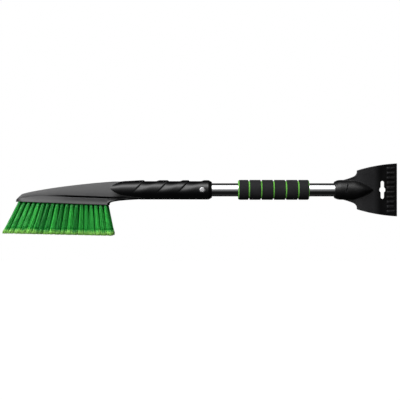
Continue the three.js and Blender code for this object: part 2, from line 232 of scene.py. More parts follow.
def foam_group():
    """Open foam skin: small pits of two sizes."""
    group, given, out, place = new_group("Foam skin", [("Scale", 900.0)], ["Height", "Pits"])
    coarse = noise(group, place, math_node(group, "MULTIPLY", given["Scale"], 0.35), detail=5.0)
    pits = spread(group, cells(group, place, given["Scale"]), 0.0, 0.55, 0, 1)
    link(group, math_node(group, "ADD", pits, coarse), out["Height"])
    link(group, pits, out["Pits"])
    return group


def drawn_group():
    """Drawn metal: very fine lines along the pole."""
    group, given, out, place = new_group("Drawn lines", [("Scale", 900.0)], ["Height", "Tone"])
    lines = drawn_out(group, place, 0.02)
    link(group, noise(group, lines, given["Scale"], detail=4.0, roughness=0.7), out["Height"])
    link(group, noise(group, lines, math_node(group, "MULTIPLY", given["Scale"], 0.1)), out["Tone"])
    return group


GROUPS = {}
MATERIALS = {}


def place_group(tree, name, **values):
    """Places a shared group in a material, with its own input values."""
    makers = {"grain": grain_group, "handling": handling_group, "foam": foam_group, "drawn": drawn_group}
    if name not in GROUPS:
        GROUPS[name] = makers[name]()
    return add_node(tree, "ShaderNodeGroup", values, node_tree=GROUPS[name])


# ---- materials -----------------------------------------------------------------------------------
def new_material(name, colour, roughness, metallic=0.0):
    """A material with one Principled shader. Returns the material, its tree and its shader."""
    material = bpy.data.materials.new(name)
    material.use_nodes = True
    tree = material.node_tree
    shader = tree.nodes["Principled BSDF"]
    shader.inputs["Base Color"].default_value = colour
    shader.inputs["Roughness"].default_value = roughness
    shader.inputs["Metallic"].default_value = metallic
    MATERIALS[name] = material
    return material, tree, shader


def colour_mix(tree, factor, first, second):
    """A mix of two colours; each is a socket or a colour."""
    return add_node(tree, "ShaderNodeMix", {0: factor, 6: first, 7: second}, data_type="RGBA").outputs[2]


def bump(tree, shader, height, distance, strength=1.0):
    """A bump of a height that feeds the shader's normal."""
    node = add_node(tree, "ShaderNodeBump", {"Strength": strength, "Distance": distance, "Height": height})
    link(tree, node.outputs[0], shader.inputs["Normal"])


def attribute(tree, name):
    """The value of a mesh attribute."""
    return add_node(tree, "ShaderNodeAttribute", attribute_name=name).outputs["Fac"]


def shade(colour, factor):
    """A colour made lighter or darker."""
    return tuple(min(1.0, part * factor) for part in colour[:3]) + (1.0,)


def head_plastic():
    """Black plastic: a fine satin grain on the block, gloss on the handle, and painted shade on the neck's
    underside and in the crease behind the rim, which take the dark glossy colour with their reflection turned
    down.
    """
    colour = tuple(bpy.context.scene.broom_colours.plastic)
    material, tree, shader = new_material("head_plastic", colour, 0.4)
    marks = place_group(tree, "handling", Patches=26.0, Streaks=70.0)
    grain = place_group(tree, "grain", Scale=1500.0)
    gloss_and_painted_shade = attribute(tree, "gloss_and_painted_shade")
    edge = attribute(tree, "edge")
    worn = math_node(tree, "MULTIPLY", edge, marks.outputs["Patch"])
    matt = tuple(bpy.context.scene.broom_colours.block)
    satin_tone = colour_mix(tree, marks.outputs["Patch"], shade(matt, 0.9), shade(matt, 1.15))
    gloss_tone = colour_mix(tree, marks.outputs["Patch"], colour, shade(colour, 1.5))
    # Painted shade: on the neck's underside and in the crease, the same mask that marks the glossy handle
    # picks the dark colour, which stands in for shade.
    tone = colour_mix(tree, gloss_and_painted_shade, satin_tone, gloss_tone)
    link(tree, colour_mix(tree, worn, tone, shade(matt, 1.6)), shader.inputs["Base Color"])
    level = scaled(tree, gloss_and_painted_shade, -0.2, 0.7)
    # Painted shade: the reflection is turned down in the crease and under the neck.
    shaded = math_node(tree, "SUBTRACT", 1.0, attribute(tree, "painted_shade"))
    link(tree, math_node(tree, "MULTIPLY", level, shaded), shader.inputs["Specular IOR Level"])
    satin = scaled(tree, marks.outputs["Patch"], 0.05, 0.44)
    polished = scaled(tree, marks.outputs["Streak"], 0.05, 0.2)
    rough = add_node(tree, "ShaderNodeMix", {0: gloss_and_painted_shade, 2: satin, 3: polished}).outputs[0]
    link(tree, rough, shader.inputs["Roughness"])
    rough_part = math_node(tree, "SUBTRACT", 1.15, gloss_and_painted_shade)
    height = math_node(tree, "MULTIPLY", grain.outputs["Height"], rough_part)
    bump(tree, shader, height, 0.05 * MM, 0.5)
    return material


def scraper_plastic():
    """Black plastic of the scraper, finely grained, with faint scuffs and a painted highlight on its edges, a
    painted sheen on the left part of the blade, and painted shade towards its edge and in the seam.
    """
    colour = tuple(bpy.context.scene.broom_colours.plastic)
    material, tree, shader = new_material("scraper_plastic", colour, 0.35)
    marks = place_group(tree, "handling", Patches=34.0, Streaks=120.0)
    grain = place_group(tree, "grain", Scale=1300.0)
    rubbed = spread(tree, marks.outputs["Patch"], 0.0, 1.0, 0.45, 1.0)
    worn = math_node(tree, "MULTIPLY", attribute(tree, "edge"), rubbed)
    tone = colour_mix(tree, marks.outputs["Patch"], colour, shade(colour, 1.6))
    # Painted sheen: the blade's left part is made lighter, standing in for a reflection of the light.
    tone = colour_mix(tree, attribute(tree, "painted_sheen"), tone, shade(colour, 4.6))
    # Edge wear and painted highlight: the convex edges, the ribs most of all, get a much lighter colour, both
    # for scuffs and for the highlights they would catch.
    link(tree, colour_mix(tree, worn, tone, shade(colour, 17.0)), shader.inputs["Base Color"])
    # Painted shade: the reflection is turned down towards the blade's edge and in the seam.
    level = scaled(tree, attribute(tree, "painted_shade"), -0.4, 0.5)
    link(tree, level, shader.inputs["Specular IOR Level"])
    rough = scaled(tree, marks.outputs["Patch"], 0.08, 0.34)
    link(tree, rough, shader.inputs["Roughness"])
    bump(tree, shader, grain.outputs["Height"], 0.04 * MM, 0.5)
    return material


def bristle_material():
    """Green filaments with pale split ends. Each filament mixes at random a painted-shade and a
    painted-highlight copy of the green, and the roots get painted shade.
    """
    colours = bpy.context.scene.broom_colours
    green = tuple(colours.bristle)
    material, tree, shader = new_material("bristle_green", green, 0.42)
    along = attribute(tree, "along")
    tint = attribute(tree, "tint")
    # Painted highlight and shade: lit is a lighter copy of the green and the darker copy is a shaded one;
    # each filament's random tint picks between them.
    lit = tuple(0.9 * a + 0.1 * b for a, b in zip(shade(green, 1.6), colours.bristle_tip))
    body = colour_mix(tree, spread(tree, tint, 0.1, 1.1, 0, 1), shade(green, 0.5), lit)
    # Painted shade near the roots, under the block.
    root_shaded = colour_mix(tree, spread(tree, along, 0.0, 0.25, 0, 1), shade(green, 0.55), body)
    split = math_node(tree, "ADD", along, math_node(tree, "MULTIPLY", tint, 0.09))
    ends = spread(tree, split, 0.9, 1.02, 0, 1)
    link(tree, colour_mix(tree, ends, root_shaded, tuple(colours.bristle_tip)), shader.inputs["Base Color"])
    rough = spread(tree, along, 0.85, 1.0, 0.4, 0.6)
    link(tree, rough, shader.inputs["Roughness"])
    return material


def foam_material(name, colour, scale):
    """Closed foam with a pitted skin whose pits get painted shade, and soft patches."""
    material, tree, shader = new_material(name, colour, 0.9)
    shader.inputs["Specular IOR Level"].default_value = 0.3
    skin = place_group(tree, "foam", Scale=scale)
    marks = place_group(tree, "handling", Patches=60.0, Streaks=160.0)
    # Painted shade: the pits are darker, and the skin between them is lighter.
    pits_shaded = colour_mix(tree, skin.outputs["Pits"], shade(colour, 0.7), shade(colour, 1.2))
    toned = colour_mix(tree, marks.outputs["Patch"], pits_shaded, shade(colour, 1.5))
    link(tree, toned, shader.inputs["Base Color"])
    rough = scaled(tree, skin.outputs["Pits"], -0.1, 0.92)
    link(tree, rough, shader.inputs["Roughness"])
    bump(tree, shader, skin.outputs["Height"], 0.16 * MM, 0.6)
    return material


def metal_material(name, colour, roughness, line_scale, depth):
    """Bright metal with fine drawn lines."""
    material, tree, shader = new_material(name, colour, roughness, metallic=1.0)
    lines = place_group(tree, "drawn", Scale=line_scale)
    marks = place_group(tree, "handling", Patches=30.0, Streaks=90.0)
    toned = colour_mix(tree, lines.outputs["Tone"], shade(colour, 0.9), shade(colour, 1.06))
    link(tree, toned, shader.inputs["Base Color"])
    rough = scaled(tree, marks.outputs["Patch"], 0.05, roughness)
    link(tree, rough, shader.inputs["Roughness"])
    bump(tree, shader, lines.outputs["Height"], depth, 0.5)
    return material


def make_materials():
    """Every finish of the object, made once."""
    colours = bpy.context.scene.broom_colours
    head_plastic()
    scraper_plastic()
    bristle_material()
    foam_material("foam_black", tuple(colours.foam_black), 1000.0)
    foam_material("foam_green", tuple(colours.foam_green), 800.0)
    metal_material("tube_aluminium", tuple(colours.aluminium), 0.13, 1100.0, 0.004 * MM)
    metal_material("button_steel", tuple(colours.steel), 0.5, 900.0, 0.02 * MM)
    metal_material("spring_steel", shade(tuple(colours.steel), 0.6), 0.35, 700.0, 0.02 * MM)
    metal_material("rivet_aluminium", shade(tuple(colours.aluminium), 0.85), 0.3, 900.0, 0.02 * MM)


# ---- mesh helpers --------------------------------------------------------------------------------
def smoothstep(value, low, high):
    """Rises smoothly from 0 at low to 1 at high; takes numbers or arrays."""
    share = np.clip((np.asarray(value, float) - low) / (high - low), 0, 1)
    return share * share * (3 - 2 * share)


def blend(first, second, share):
    """Linear blend of two values or arrays."""
    return first + (second - first) * share


def finish_piece(name, mesh, body, slot, replaced, sharp_degrees=40):
    """Links a mesh as a finished piece that rides on a body and stands for CAD nodes."""
    piece = bpy.data.objects.new(name, mesh)
    bpy.context.scene.collection.objects.link(piece)
    mesh.shade_smooth()
    mesh.set_sharp_from_angle(angle=math.radians(sharp_degrees))
    mesh.materials.clear()
    mesh.materials.append(MATERIALS[slot])
    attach(piece, body)
    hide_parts(*replaced)
    return piece


def mesh_from(name, points, faces):
    """A mesh with doubles merged and its faces turned outwards."""
    mesh = bpy.data.meshes.new(name)
    mesh.from_pydata([tuple(point) for point in points], [], faces)
    shell = bmesh.new()
    shell.from_mesh(mesh)
    bmesh.ops.remove_doubles(shell, verts=shell.verts, dist=0.002 * MM)
    bmesh.ops.recalc_face_normals(shell, faces=shell.faces)
    shell.to_mesh(mesh)
    shell.free()
    return mesh


def rounded(corners, radii, steps=5):
    """A profile whose corners are arcs. Each corner has its own radius, and 0 keeps it sharp."""
    points = []
    count = len(corners)
    for index, (corner, radius) in enumerate(zip(corners, radii)):
        here = Vector(corner)
        before = (Vector(corners[index - 1]) - here)
        after = (Vector(corners[(index + 1) % count]) - here)
        if radius == 0 or before.length == 0 or after.length == 0:
            points.append(tuple(here))
            continue
        reach = min(radius, before.length * 0.49, after.length * 0.49)
        start = here + before.normalized() * reach
        end = here + after.normalized() * reach
        for step in range(steps + 1):
            share = step / steps
            first = start.lerp(here, share)
            second = here.lerp(end, share)
            points.append(tuple(first.lerp(second, share)))
    return points


def held(profile, closed):
    """The same profile with extra points near the ends of its long lines, which keep them straight
    under smooth shading."""
    held_points = []
    count = len(profile)
    for index, here in enumerate(profile):
        held_points.append(here)
        if index == count - 1 and not closed:
            break
        there = profile[(index + 1) % count]
        length = math.dist(here, there)
        if length > 3 * MM:
            for reach in (0.3 * MM, 1 * MM, length - 1 * MM, length - 0.3 * MM):
                held_points.append(tuple(blend(a, b, reach / length) for a, b in zip(here, there)))
    return held_points


def turned(name, profile, facets=96, axis="X", centre=(0, 0, 0), closed=True):
    """A turned mesh from a profile of (distance along the axis, radius). A closed profile is a ring
    in section; an open one starts and ends on the axis."""
    profile = held(profile, closed)
    points = []
    for along, radius in profile:
        for step in range(facets):
            angle = 2 * math.pi * step / facets
            across = (radius * math.cos(angle), radius * math.sin(angle))
            place = {"X": (along, *across), "Y": (across[0], along, across[1])}[axis]
            points.append([a + b for a, b in zip(place, centre)])
    rows = len(profile)
    faces = []
    for row in range(rows if closed else rows - 1):
        upper = (row + 1) % rows
        for step in range(facets):
            across = (step + 1) % facets
            faces.append((row * facets + step, row * facets + across,
                          upper * facets + across, upper * facets + step))
    return mesh_from(name, points, faces)


def evaluated_copy(piece, name):
    """The plain mesh of an object with its modifiers applied; the object itself is removed."""
    view = bpy.context.evaluated_depsgraph_get()
    mesh = bpy.data.meshes.new_from_object(piece.evaluated_get(view), depsgraph=view)
    mesh.name = name
    bpy.data.objects.remove(piece)
    return mesh


def store(mesh, name, values):
    """Stores one number for each vertex."""
    layer = mesh.attributes.new(name, "FLOAT", "POINT")
    layer.data.foreach_set("value", np.asarray(values, np.float32))


def positions(mesh):
    """The vertices as rows of x, y, z."""
    flat = np.empty(len(mesh.vertices) * 3, np.float32)
    mesh.vertices.foreach_get("co", flat)
    return flat.reshape(-1, 3).astype(float)


def edge_marks(mesh, reach=2):
    """How sharp the surface turns at each vertex, spread over its neighbours: 1 on an outer edge."""
    shell = bmesh.new()
    shell.from_mesh(mesh)
    marks = np.zeros(len(shell.verts))
    for vertex in shell.verts:
        turn = [edge.calc_face_angle_signed(0) for edge in vertex.link_edges]
        marks[vertex.index] = max(turn, default=0)
    links = [[edge.other_vert(vertex).index for edge in vertex.link_edges] for vertex in shell.verts]
    shell.free()
    marks = smoothstep(marks, 0.15, 0.6)
    for _ in range(reach):
        marks = np.array([max(marks[i], 0.7 * marks[near].mean()) if near else marks[i]
                          for i, near in enumerate(links)])
    return marks


# ---- brush head ----------------------------------------------------------------------------------
# The block runs from the nose to its end, and narrows from there to the neck of the handle.
BLOCK_HALF_WIDTH = HEAD_HIGH.y
BLOCK_END_X = -162.5 * MM
NECK_X = -105 * MM
TONGUE_X = -174 * MM  # where the handle starts, inside the block
FACE_AT_NOSE, FACE_SLOPE, FACE_FROM_X = 57.8 * MM, 0.0381, -314.5 * MM
NOSE_Z, NOSE_SLOPE, NOSE_HALF_WIDTH, NOSE_LENGTH = 61 * MM, 0.93, 9 * MM, 18 * MM
NOSE_SOFTNESS = 1.2 * MM  # rounds the corner where the nose meets the top line
NOSE_BOW, NOSE_BOW_LENGTH = 2.2 * MM, 20 * MM  # how far the top line dips towards the nose
NECK_HALF_WIDTH = 3 * MM
RIM_HEIGHT = 11.5 * MM
LEAN_AT_NOSE, LEAN_AT_END = 3.3 * MM, 1.4 * MM
ROOF_START_X = -268 * MM
ROOF_HALF_WIDTH, ROOF_HALF_WIDTH_AT_NECK = 18.6 * MM, 9.8 * MM
COVE_HEIGHT = 3.2 * MM  # between the rim and the foot of the roof
GROOVE_DEPTH = 2.0 * MM
# The roof's side: share of its height, and how far it leans in there as a share of the height.
ROOF_SIDE = ((0.25, 0.045), (0.5, 0.11), (0.75, 0.19), (0.93, 0.255), (0.975, 0.285), (0.995, 0.34))

# The handle's slanted steps: where each leaves the top, and where its dip ends.
STEPS_AT = ((-100 * MM, -76 * MM), (-58 * MM, -34.6 * MM), (-22 * MM, 2.1 * MM))
STEP_SLANT = 15.5 * MM  # how far a step runs along the handle from its top to its middle
MOUTH_ROUNDING, MOUTH_LENGTH = 3.3 * MM, 6.5 * MM


def face_z(x):
    """Height of the face that holds the bristles."""
    return FACE_AT_NOSE - FACE_SLOPE * (x - FACE_FROM_X)


def crown_fall(x):
    """How far the top line lies under the handle's top."""
    run = np.maximum(NECK_X - x, 0) / MM
    return (0.0318 * run + 0.00038 * run ** 2) * MM


def crown_z(x):
    """Height of the block's top line, which sinks a little where it runs into the handle."""
    sunk = 1.2 * MM * smoothstep(x, -158 * MM, -130 * MM)
    bow = NOSE_BOW * np.exp((NOSE_X - x) / NOSE_BOW_LENGTH)
    curve = POLE_Z + HANDLE_RADIUS - crown_fall(x) - sunk - bow
    nose = NOSE_Z + NOSE_SLOPE * (x - NOSE_X)
    rounding = np.exp(-np.abs(curve - nose) / (2 * NOSE_SOFTNESS))
    return np.minimum(curve, nose) - 0.5 * NOSE_SOFTNESS * rounding


def rim_top_z(x):
    """Height of the rim that runs round the block."""
    face = face_z(np.minimum(x, BLOCK_END_X))
    return face + np.minimum(RIM_HEIGHT, 0.55 * (crown_z(x) - face))


def past_block(x):
    """From 0 at the block's end to 1 at the neck."""
    return np.clip((x - BLOCK_END_X) / (NECK_X - BLOCK_END_X), 0, 1)


def underside_z(x):
    """Height of the bottom: the face, then the curve up to the handle."""
    handle = POLE_Z - HANDLE_RADIUS + 0.4 * MM
    return blend(face_z(min(x, BLOCK_END_X)), handle, past_block(x) ** 0.25)


def block_half_width(x):
    """Half width of the block, rounded in plan at the nose."""
    share = np.clip((x - NOSE_X) / NOSE_LENGTH, 0, 1)
    nose = blend(NOSE_HALF_WIDTH, BLOCK_HALF_WIDTH, np.sqrt(1 - (1 - share) ** 2.4))
    return blend(nose, NECK_HALF_WIDTH, past_block(x) ** 1.25)


def rim_lean(x):
    """How far the rim's top lies inside its foot: it leans most at the nose."""
    lean = blend(LEAN_AT_NOSE, LEAN_AT_END, smoothstep(x, -285 * MM, -215 * MM))
    return lean * block_half_width(x) / BLOCK_HALF_WIDTH


def roof_half_width(x):
    """Half width at the foot of the roof, which narrows towards the handle."""
    along = np.clip((x - ROOF_START_X) / (NECK_X - ROOF_START_X), 0, 1)
    wide = blend(ROOF_HALF_WIDTH_AT_NECK, ROOF_HALF_WIDTH, (1 - along) ** 0.85)
    return wide * min(1, block_half_width(min(x, BLOCK_END_X)) / BLOCK_HALF_WIDTH)


def part_curve(corners, count):
    """Evenly spaced points along a smooth curve through a few corners."""
    corners = np.array(corners)
    ends = np.vstack([2 * corners[0] - corners[1], corners, 2 * corners[-1] - corners[-2]])
    fine = []
    for i in range(1, len(ends) - 2):
        for t in np.linspace(0, 1, 12, endpoint=i == len(ends) - 3):
            a, b, c, d = ends[i - 1:i + 3]
            fine.append(0.5 * (2 * b + (c - a) * t + (2 * a - 5 * b + 4 * c - d) * t ** 2
                               + (3 * b - a - 3 * c + d) * t ** 3))
    fine = np.array(fine)
    gone = np.concatenate([[0], np.cumsum(np.linalg.norm(np.diff(fine, axis=0), axis=1))])
    even = np.linspace(0, gone[-1], count)
    return np.column_stack([np.interp(even, gone, fine[:, 0]), np.interp(even, gone, fine[:, 1])])


def block_half_section(x):
    """Half of the block's section, from the middle of its face round to the crown, as (y, z)."""
    half = block_half_width(x)
    foot = min(roof_half_width(x), half + 8 * MM)
    bottom = underside_z(x)
    crown = crown_z(x)
    face = face_z(min(x, BLOCK_END_X))
    rim_top = rim_top_z(x)
    edge = min(1.0 * MM, 0.3 * (rim_top - bottom))
    cove = min(COVE_HEIGHT, 0.12 * (crown - face)) * blend(0.25, 1, smoothstep(x, -280 * MM, -235 * MM))
    lean = rim_lean(x)
    waist = max(1.2 * MM, 0.55 * lean) * half / BLOCK_HALF_WIDTH
    rim_edge = half - lean - 0.3 * edge
    if x <= BLOCK_END_X:
        foot = min(foot, rim_edge - 0.2 * MM)

    turn = np.linspace(0, math.pi / 2, 5)
    flat = np.column_stack([np.linspace(0, half - edge, 12), np.full(12, bottom)])
    corner = np.column_stack([half - edge + edge * np.sin(turn), bottom + edge - edge * np.cos(turn)])
    under_lip = (half - lean, rim_top - 0.5 * edge)
    rim = part_curve([(half, bottom + edge), (half - waist, blend(bottom, rim_top, 0.5)), under_lip], 16)
    lip = part_curve([under_lip, (half - lean - 0.08 * edge, rim_top - 0.12 * edge), (rim_edge, rim_top)], 5)

    # Behind the rim a narrow groove runs under the roof's foot. It fades out at both ends.
    roof_foot = rim_top + cove
    groove = GROOVE_DEPTH * smoothstep(x, -270 * MM, -225 * MM) * (1 - smoothstep(x, -165 * MM, -150 * MM))
    hollow = part_curve([(rim_edge, rim_top), (blend(foot - groove, rim_edge, 0.4), rim_top + 0.03 * cove),
                         (foot - groove, rim_top + 0.2 * cove), (foot - 0.9 * groove, rim_top + 0.6 * cove),
                         (foot - 0.3 * groove, rim_top + 0.9 * cove), (foot, roof_foot)], 18)

    height = crown - roof_foot
    side = [(max(foot - height * lean_in, 0.3 * foot), roof_foot + height * up) for up, lean_in in ROOF_SIDE]
    top = side[-1][0]
    ridge = crown + 0.05 * MM
    roof = part_curve([(foot, roof_foot)] + side + [(0.7 * top, crown), (0.35 * top, ridge), (0, ridge)], 50)
    return np.vstack([flat, corner[1:], rim[1:], lip[1:], hollow[1:], roof[1:]])


def grip_relief(x, up):
    """How far the handle lies under its plain form: a slanted step that starts on top with a finger
    dip and runs down the side. up is the sine of the angle above the horizontal."""
    sizes = bpy.context.scene.broom_sizes
    on_top = smoothstep(up, 0.62, 0.95)
    depth = blend(sizes.twist_depth, sizes.finger_depth, on_top) * smoothstep(up, -0.34, 0.3)
    relief = 0
    for start, end in STEPS_AT:
        beyond = x - (start + STEP_SLANT * (up - 1))
        length = end - start
        enter = smoothstep(beyond, -1.0 * MM, 1.2 * MM)
        top_exit = smoothstep(beyond, length - 4 * MM, length + 3 * MM)
        side_exit = smoothstep(beyond, 1.5 * MM, length + 1 * MM)
        relief = np.maximum(relief, depth * enter * (1 - blend(side_exit, top_exit, on_top)))
    return relief


def handle_radius(x):
    """Radius of the handle, from the tongue inside the block to the rounded mouth."""
    inside = NECK_X - x
    tongue = 0.25 * MM * smoothstep(inside, 0, 20 * MM) + 4.5 * MM * smoothstep(inside, 30 * MM, 62 * MM)
    rounding = MOUTH_ROUNDING * np.clip((x - MOUTH_X) / MOUTH_LENGTH + 1, 0, 1) ** 1.4
    return HANDLE_RADIUS - crown_fall(x) - tongue - rounding


def handle_reach(x, up):
    """Distance from the axis to the handle's surface."""
    return handle_radius(x) - grip_relief(x, up)


def ring_of(x, half):
    """A whole ring at x from one half of it."""
    other = half[-2:0:-1] * (-1, 1)
    return [(x, y, z) for y, z in np.vstack([half, other])]


def lofted(name, rings):
    """A closed mesh through rings that all have the same number of points."""
    count = len(rings[0])
    points = [point for ring in rings for point in ring]
    faces = []
    for ring in range(len(rings) - 1):
        for i in range(count):
            j = (i + 1) % count
            faces.append((ring * count + i, ring * count + j, (ring + 1) * count + j, (ring + 1) * count + i))
    faces.append(tuple(range(count))[::-1])
    faces.append(tuple((len(rings) - 1) * count + i for i in range(count)))
    return mesh_from(name, points, faces)


def block_mesh():
    """The block with its rim, groove and roof, up to the neck."""
    nose = NOSE_X + 19 * MM * np.linspace(0, 1, 30) ** 1.6
    block = np.linspace(NOSE_X + 20 * MM, BLOCK_END_X, 90)
    notch = BLOCK_END_X + (NECK_X - BLOCK_END_X) * np.linspace(0, 1, 48)[1:] ** 2.4
    return lofted("block", [ring_of(x, block_half_section(x)) for x in (*nose, *block, *notch)])


def handle_mesh():
    """The grip handle with its tongue, slanted steps and rounded mouth."""
    angle = np.linspace(-math.pi / 2, math.pi / 2, 61)
    up = np.sin(angle)
    tongue = np.linspace(TONGUE_X, -122 * MM, 24)
    grip = np.linspace(-121 * MM, MOUTH_X - MOUTH_LENGTH, 200)
    mouth = MOUTH_X - MOUTH_LENGTH * np.linspace(1, 0, 12)[1:]
    rings = []
    for x in (*tongue, *grip, *mouth):
        reach = handle_reach(x, up)
        rings.append(ring_of(x, np.column_stack([reach * np.cos(angle), POLE_Z + reach * up])))
    return lofted("handle", rings)


def cut_with(piece, cutter, operation="DIFFERENCE"):
    """Adds an exact boolean with another object to the piece."""
    cutter.hide_render = True
    knife = piece.modifiers.new("cut", "BOOLEAN")
    knife.operation = operation
    knife.solver = "EXACT"
    knife.object = cutter


def scratch_object(name, mesh):
    """An object used only while building."""
    item = bpy.data.objects.new(name, mesh)
    bpy.context.scene.collection.objects.link(item)
    return item


def mark_head(mesh):
    """Marks where the head is glossy, where shade is painted in (the crease behind the rim and the neck's
    underside, made dark and dull), and its worn edges.
    """
    x, y, z = positions(mesh).T
    reach = np.hypot(y, z - POLE_Z)
    up = (z - POLE_Z) / np.maximum(reach, 1e-9)
    on_handle = (np.abs(reach - handle_reach(x, up)) < 0.05 * MM) & (x > TONGUE_X)
    # Painted shade: the neck's underside fades to the dark colour.
    neck = smoothstep(x, -160 * MM, -138 * MM) * (z < POLE_Z - 4 * MM)
    behind_rim = np.abs(y) < block_half_width(x) - rim_lean(x) - 0.5 * MM
    in_groove = behind_rim & (np.abs(z - rim_top_z(x) - 1.4 * MM) < 2.0 * MM)
    # Painted shade: the groove behind the rim is painted dark.
    creased = smoothstep(x, -262 * MM, -225 * MM) * in_groove
    store(mesh, "gloss_and_painted_shade", np.maximum.reduce([on_handle.astype(float), neck, creased]))
    store(mesh, "painted_shade", np.maximum(creased, 0.8 * neck * ~on_handle))
    store(mesh, "edge", edge_marks(mesh))


class BROOM_OT_head(bpy.types.Operator):
    """Builds the brush head: block, handle, mouth and button hole"""

    bl_idname = "broom.head"
    bl_label = "Brush head"

    def execute(self, context):
        raw = scratch_object("head_raw", block_mesh())
        handle = scratch_object("handle_raw", handle_mesh())
        bore_end = TUBE_LOW.x - CLEARANCE
        lead = BORE_RADIUS + 0.5 * MM
        bore = scratch_object("bore_raw", turned("bore_raw", [
            (bore_end, 0), (bore_end, BORE_RADIUS), (MOUTH_X - 1 * MM, BORE_RADIUS), (MOUTH_X, lead),
            (MOUTH_X + 1 * MM, lead), (MOUTH_X + 1 * MM, 0)], 96, centre=(0, 0, POLE_Z), closed=False))
        hole = BUTTON_RADIUS + 0.6 * MM
        top = HANDLE_RADIUS + 1.5 * MM
        profile = [(-top, 0), (-top, hole + 1.6 * MM), (-HANDLE_RADIUS + 0.8 * MM, hole), (0, hole), (0, 0)]
        dimple = scratch_object("hole_raw", turned(
            "hole_raw", profile, facets=64, axis="Y", centre=(BUTTON_X, 0, POLE_Z), closed=False))
        cut_with(raw, handle, "UNION")
        cut_with(raw, bore)
        cut_with(raw, dimple)
        mesh = evaluated_copy(raw, "head_body")
        for item in (handle, bore, dimple):
            bpy.data.objects.remove(item)
        mark_head(mesh)
        finish_piece("head_body", mesh, "brush_head", "head_plastic", ["brush_head"], sharp_degrees=32)
        return {"FINISHED"}


# ---- bristles ------------------------------------------------------------------------------------
def vector_math(tree, operation, first, second=None, scale=None):
    """The result of a vector math node; operands are sockets or triples."""
    inputs = {key: value for key, value in ((0, first), (1, second), ("Scale", scale)) if value is not None}
    return add_node(tree, "ShaderNodeVectorMath", inputs, operation=operation).outputs[0]


def random_value(tree, low, high, seed, offset):
    """A random number for each element, from the tree's seed and an offset of its own."""
    inputs = {2: low, 3: high, "Seed": math_node(tree, "ADD", seed, offset)}
    return add_node(tree, "FunctionNodeRandomValue", inputs, data_type="FLOAT").outputs[1]


def combine(tree, x=0.0, y=0.0, z=0.0):
    """A vector from three numbers or sockets."""
    return add_node(tree, "ShaderNodeCombineXYZ", {0: x, 1: y, 2: z}).outputs[0]


def store_attribute(tree, geometry, name, kind, value):
    """Stores a named attribute on the points."""
    inputs = {"Geometry": geometry, "Name": name, "Value": value}
    node = add_node(tree, "GeometryNodeStoreNamedAttribute", inputs, data_type=kind, domain="POINT")
    return node.outputs["Geometry"]


def read_attribute(tree, name, kind):
    """Reads a named attribute."""
    node = add_node(tree, "GeometryNodeInputNamedAttribute", {"Name": name}, data_type=kind)
    return node.outputs["Attribute"]


WAVE_TURN = 17.0  # radians of waviness from a filament's root to its tip


def strands(tree, points, count, start, end, crimp_size, strays=False):
    """Curves on the points, along part of the way from each one's root to its tip, with a wave."""
    line = add_node(tree, "GeometryNodeCurvePrimitiveLine").outputs[0]
    cut_up = add_node(tree, "GeometryNodeResampleCurve", {"Curve": line, "Count": count}).outputs[0]
    planted = add_node(tree, "GeometryNodeInstanceOnPoints", {"Points": points, "Instance": cut_up})
    real = add_node(tree, "GeometryNodeRealizeInstances", {0: planted.outputs[0]})
    step = add_node(tree, "GeometryNodeSplineParameter").outputs["Factor"]
    reached = scaled(tree, step, end - start, start)
    geometry = store_attribute(tree, real.outputs[0], "along", "FLOAT", reached)
    along = read_attribute(tree, "along", "FLOAT")
    phase = read_attribute(tree, "phase", "FLOAT")
    wave = math_node(tree, "SINE", scaled(tree, along, WAVE_TURN, phase))
    swing = math_node(tree, "MULTIPLY", math_node(tree, "MULTIPLY", wave, along), crimp_size)
    offset = combine(tree, math_node(tree, "MULTIPLY", swing, math_node(tree, "COSINE", phase)),
                     math_node(tree, "MULTIPLY", swing, math_node(tree, "SINE", phase)))
    if strays:
        astray = vector_math(tree, "SCALE", read_attribute(tree, "stray", "FLOAT_VECTOR"), scale=step)
        offset = vector_math(tree, "ADD", offset, astray)
    straight = add_node(tree, "ShaderNodeMix", {
        0: along, 4: read_attribute(tree, "root_at", "FLOAT_VECTOR"),
        5: read_attribute(tree, "tip_at", "FLOAT_VECTOR")}, data_type="VECTOR").outputs[1]
    place = vector_math(tree, "ADD", straight, offset)
    return add_node(tree, "GeometryNodeSetPosition", {"Geometry": geometry, "Position": place}).outputs[0]


# How far along a filament its ends part, and how far its stem runs on between them.
SPLIT_AT, STEM_OVERLAP = 0.84, 0.06
TIP_JITTER = 0.9 * MM
TIP_SHORTENING = 2.4 * MM  # how much shorter the shortest filaments are
STRAY = 0.8 * MM  # how far a split end strays sideways
FIRST_SEED = 100

BRISTLE_INPUTS = (
    ("Root", "NodeSocketVector"), ("Tip", "NodeSocketVector"), ("Rows", "NodeSocketInt"),
    ("Row Pitch", "NodeSocketFloat"), ("Filaments", "NodeSocketInt"), ("Root Reach", "NodeSocketFloat"),
    ("Tip Reach", "NodeSocketFloat"), ("Flare", "NodeSocketFloat"), ("Radius", "NodeSocketFloat"),
    ("Crimp", "NodeSocketFloat"), ("Split Ends", "NodeSocketInt"), ("Seed", "NodeSocketInt"),
    ("Material", "NodeSocketMaterial"),
)


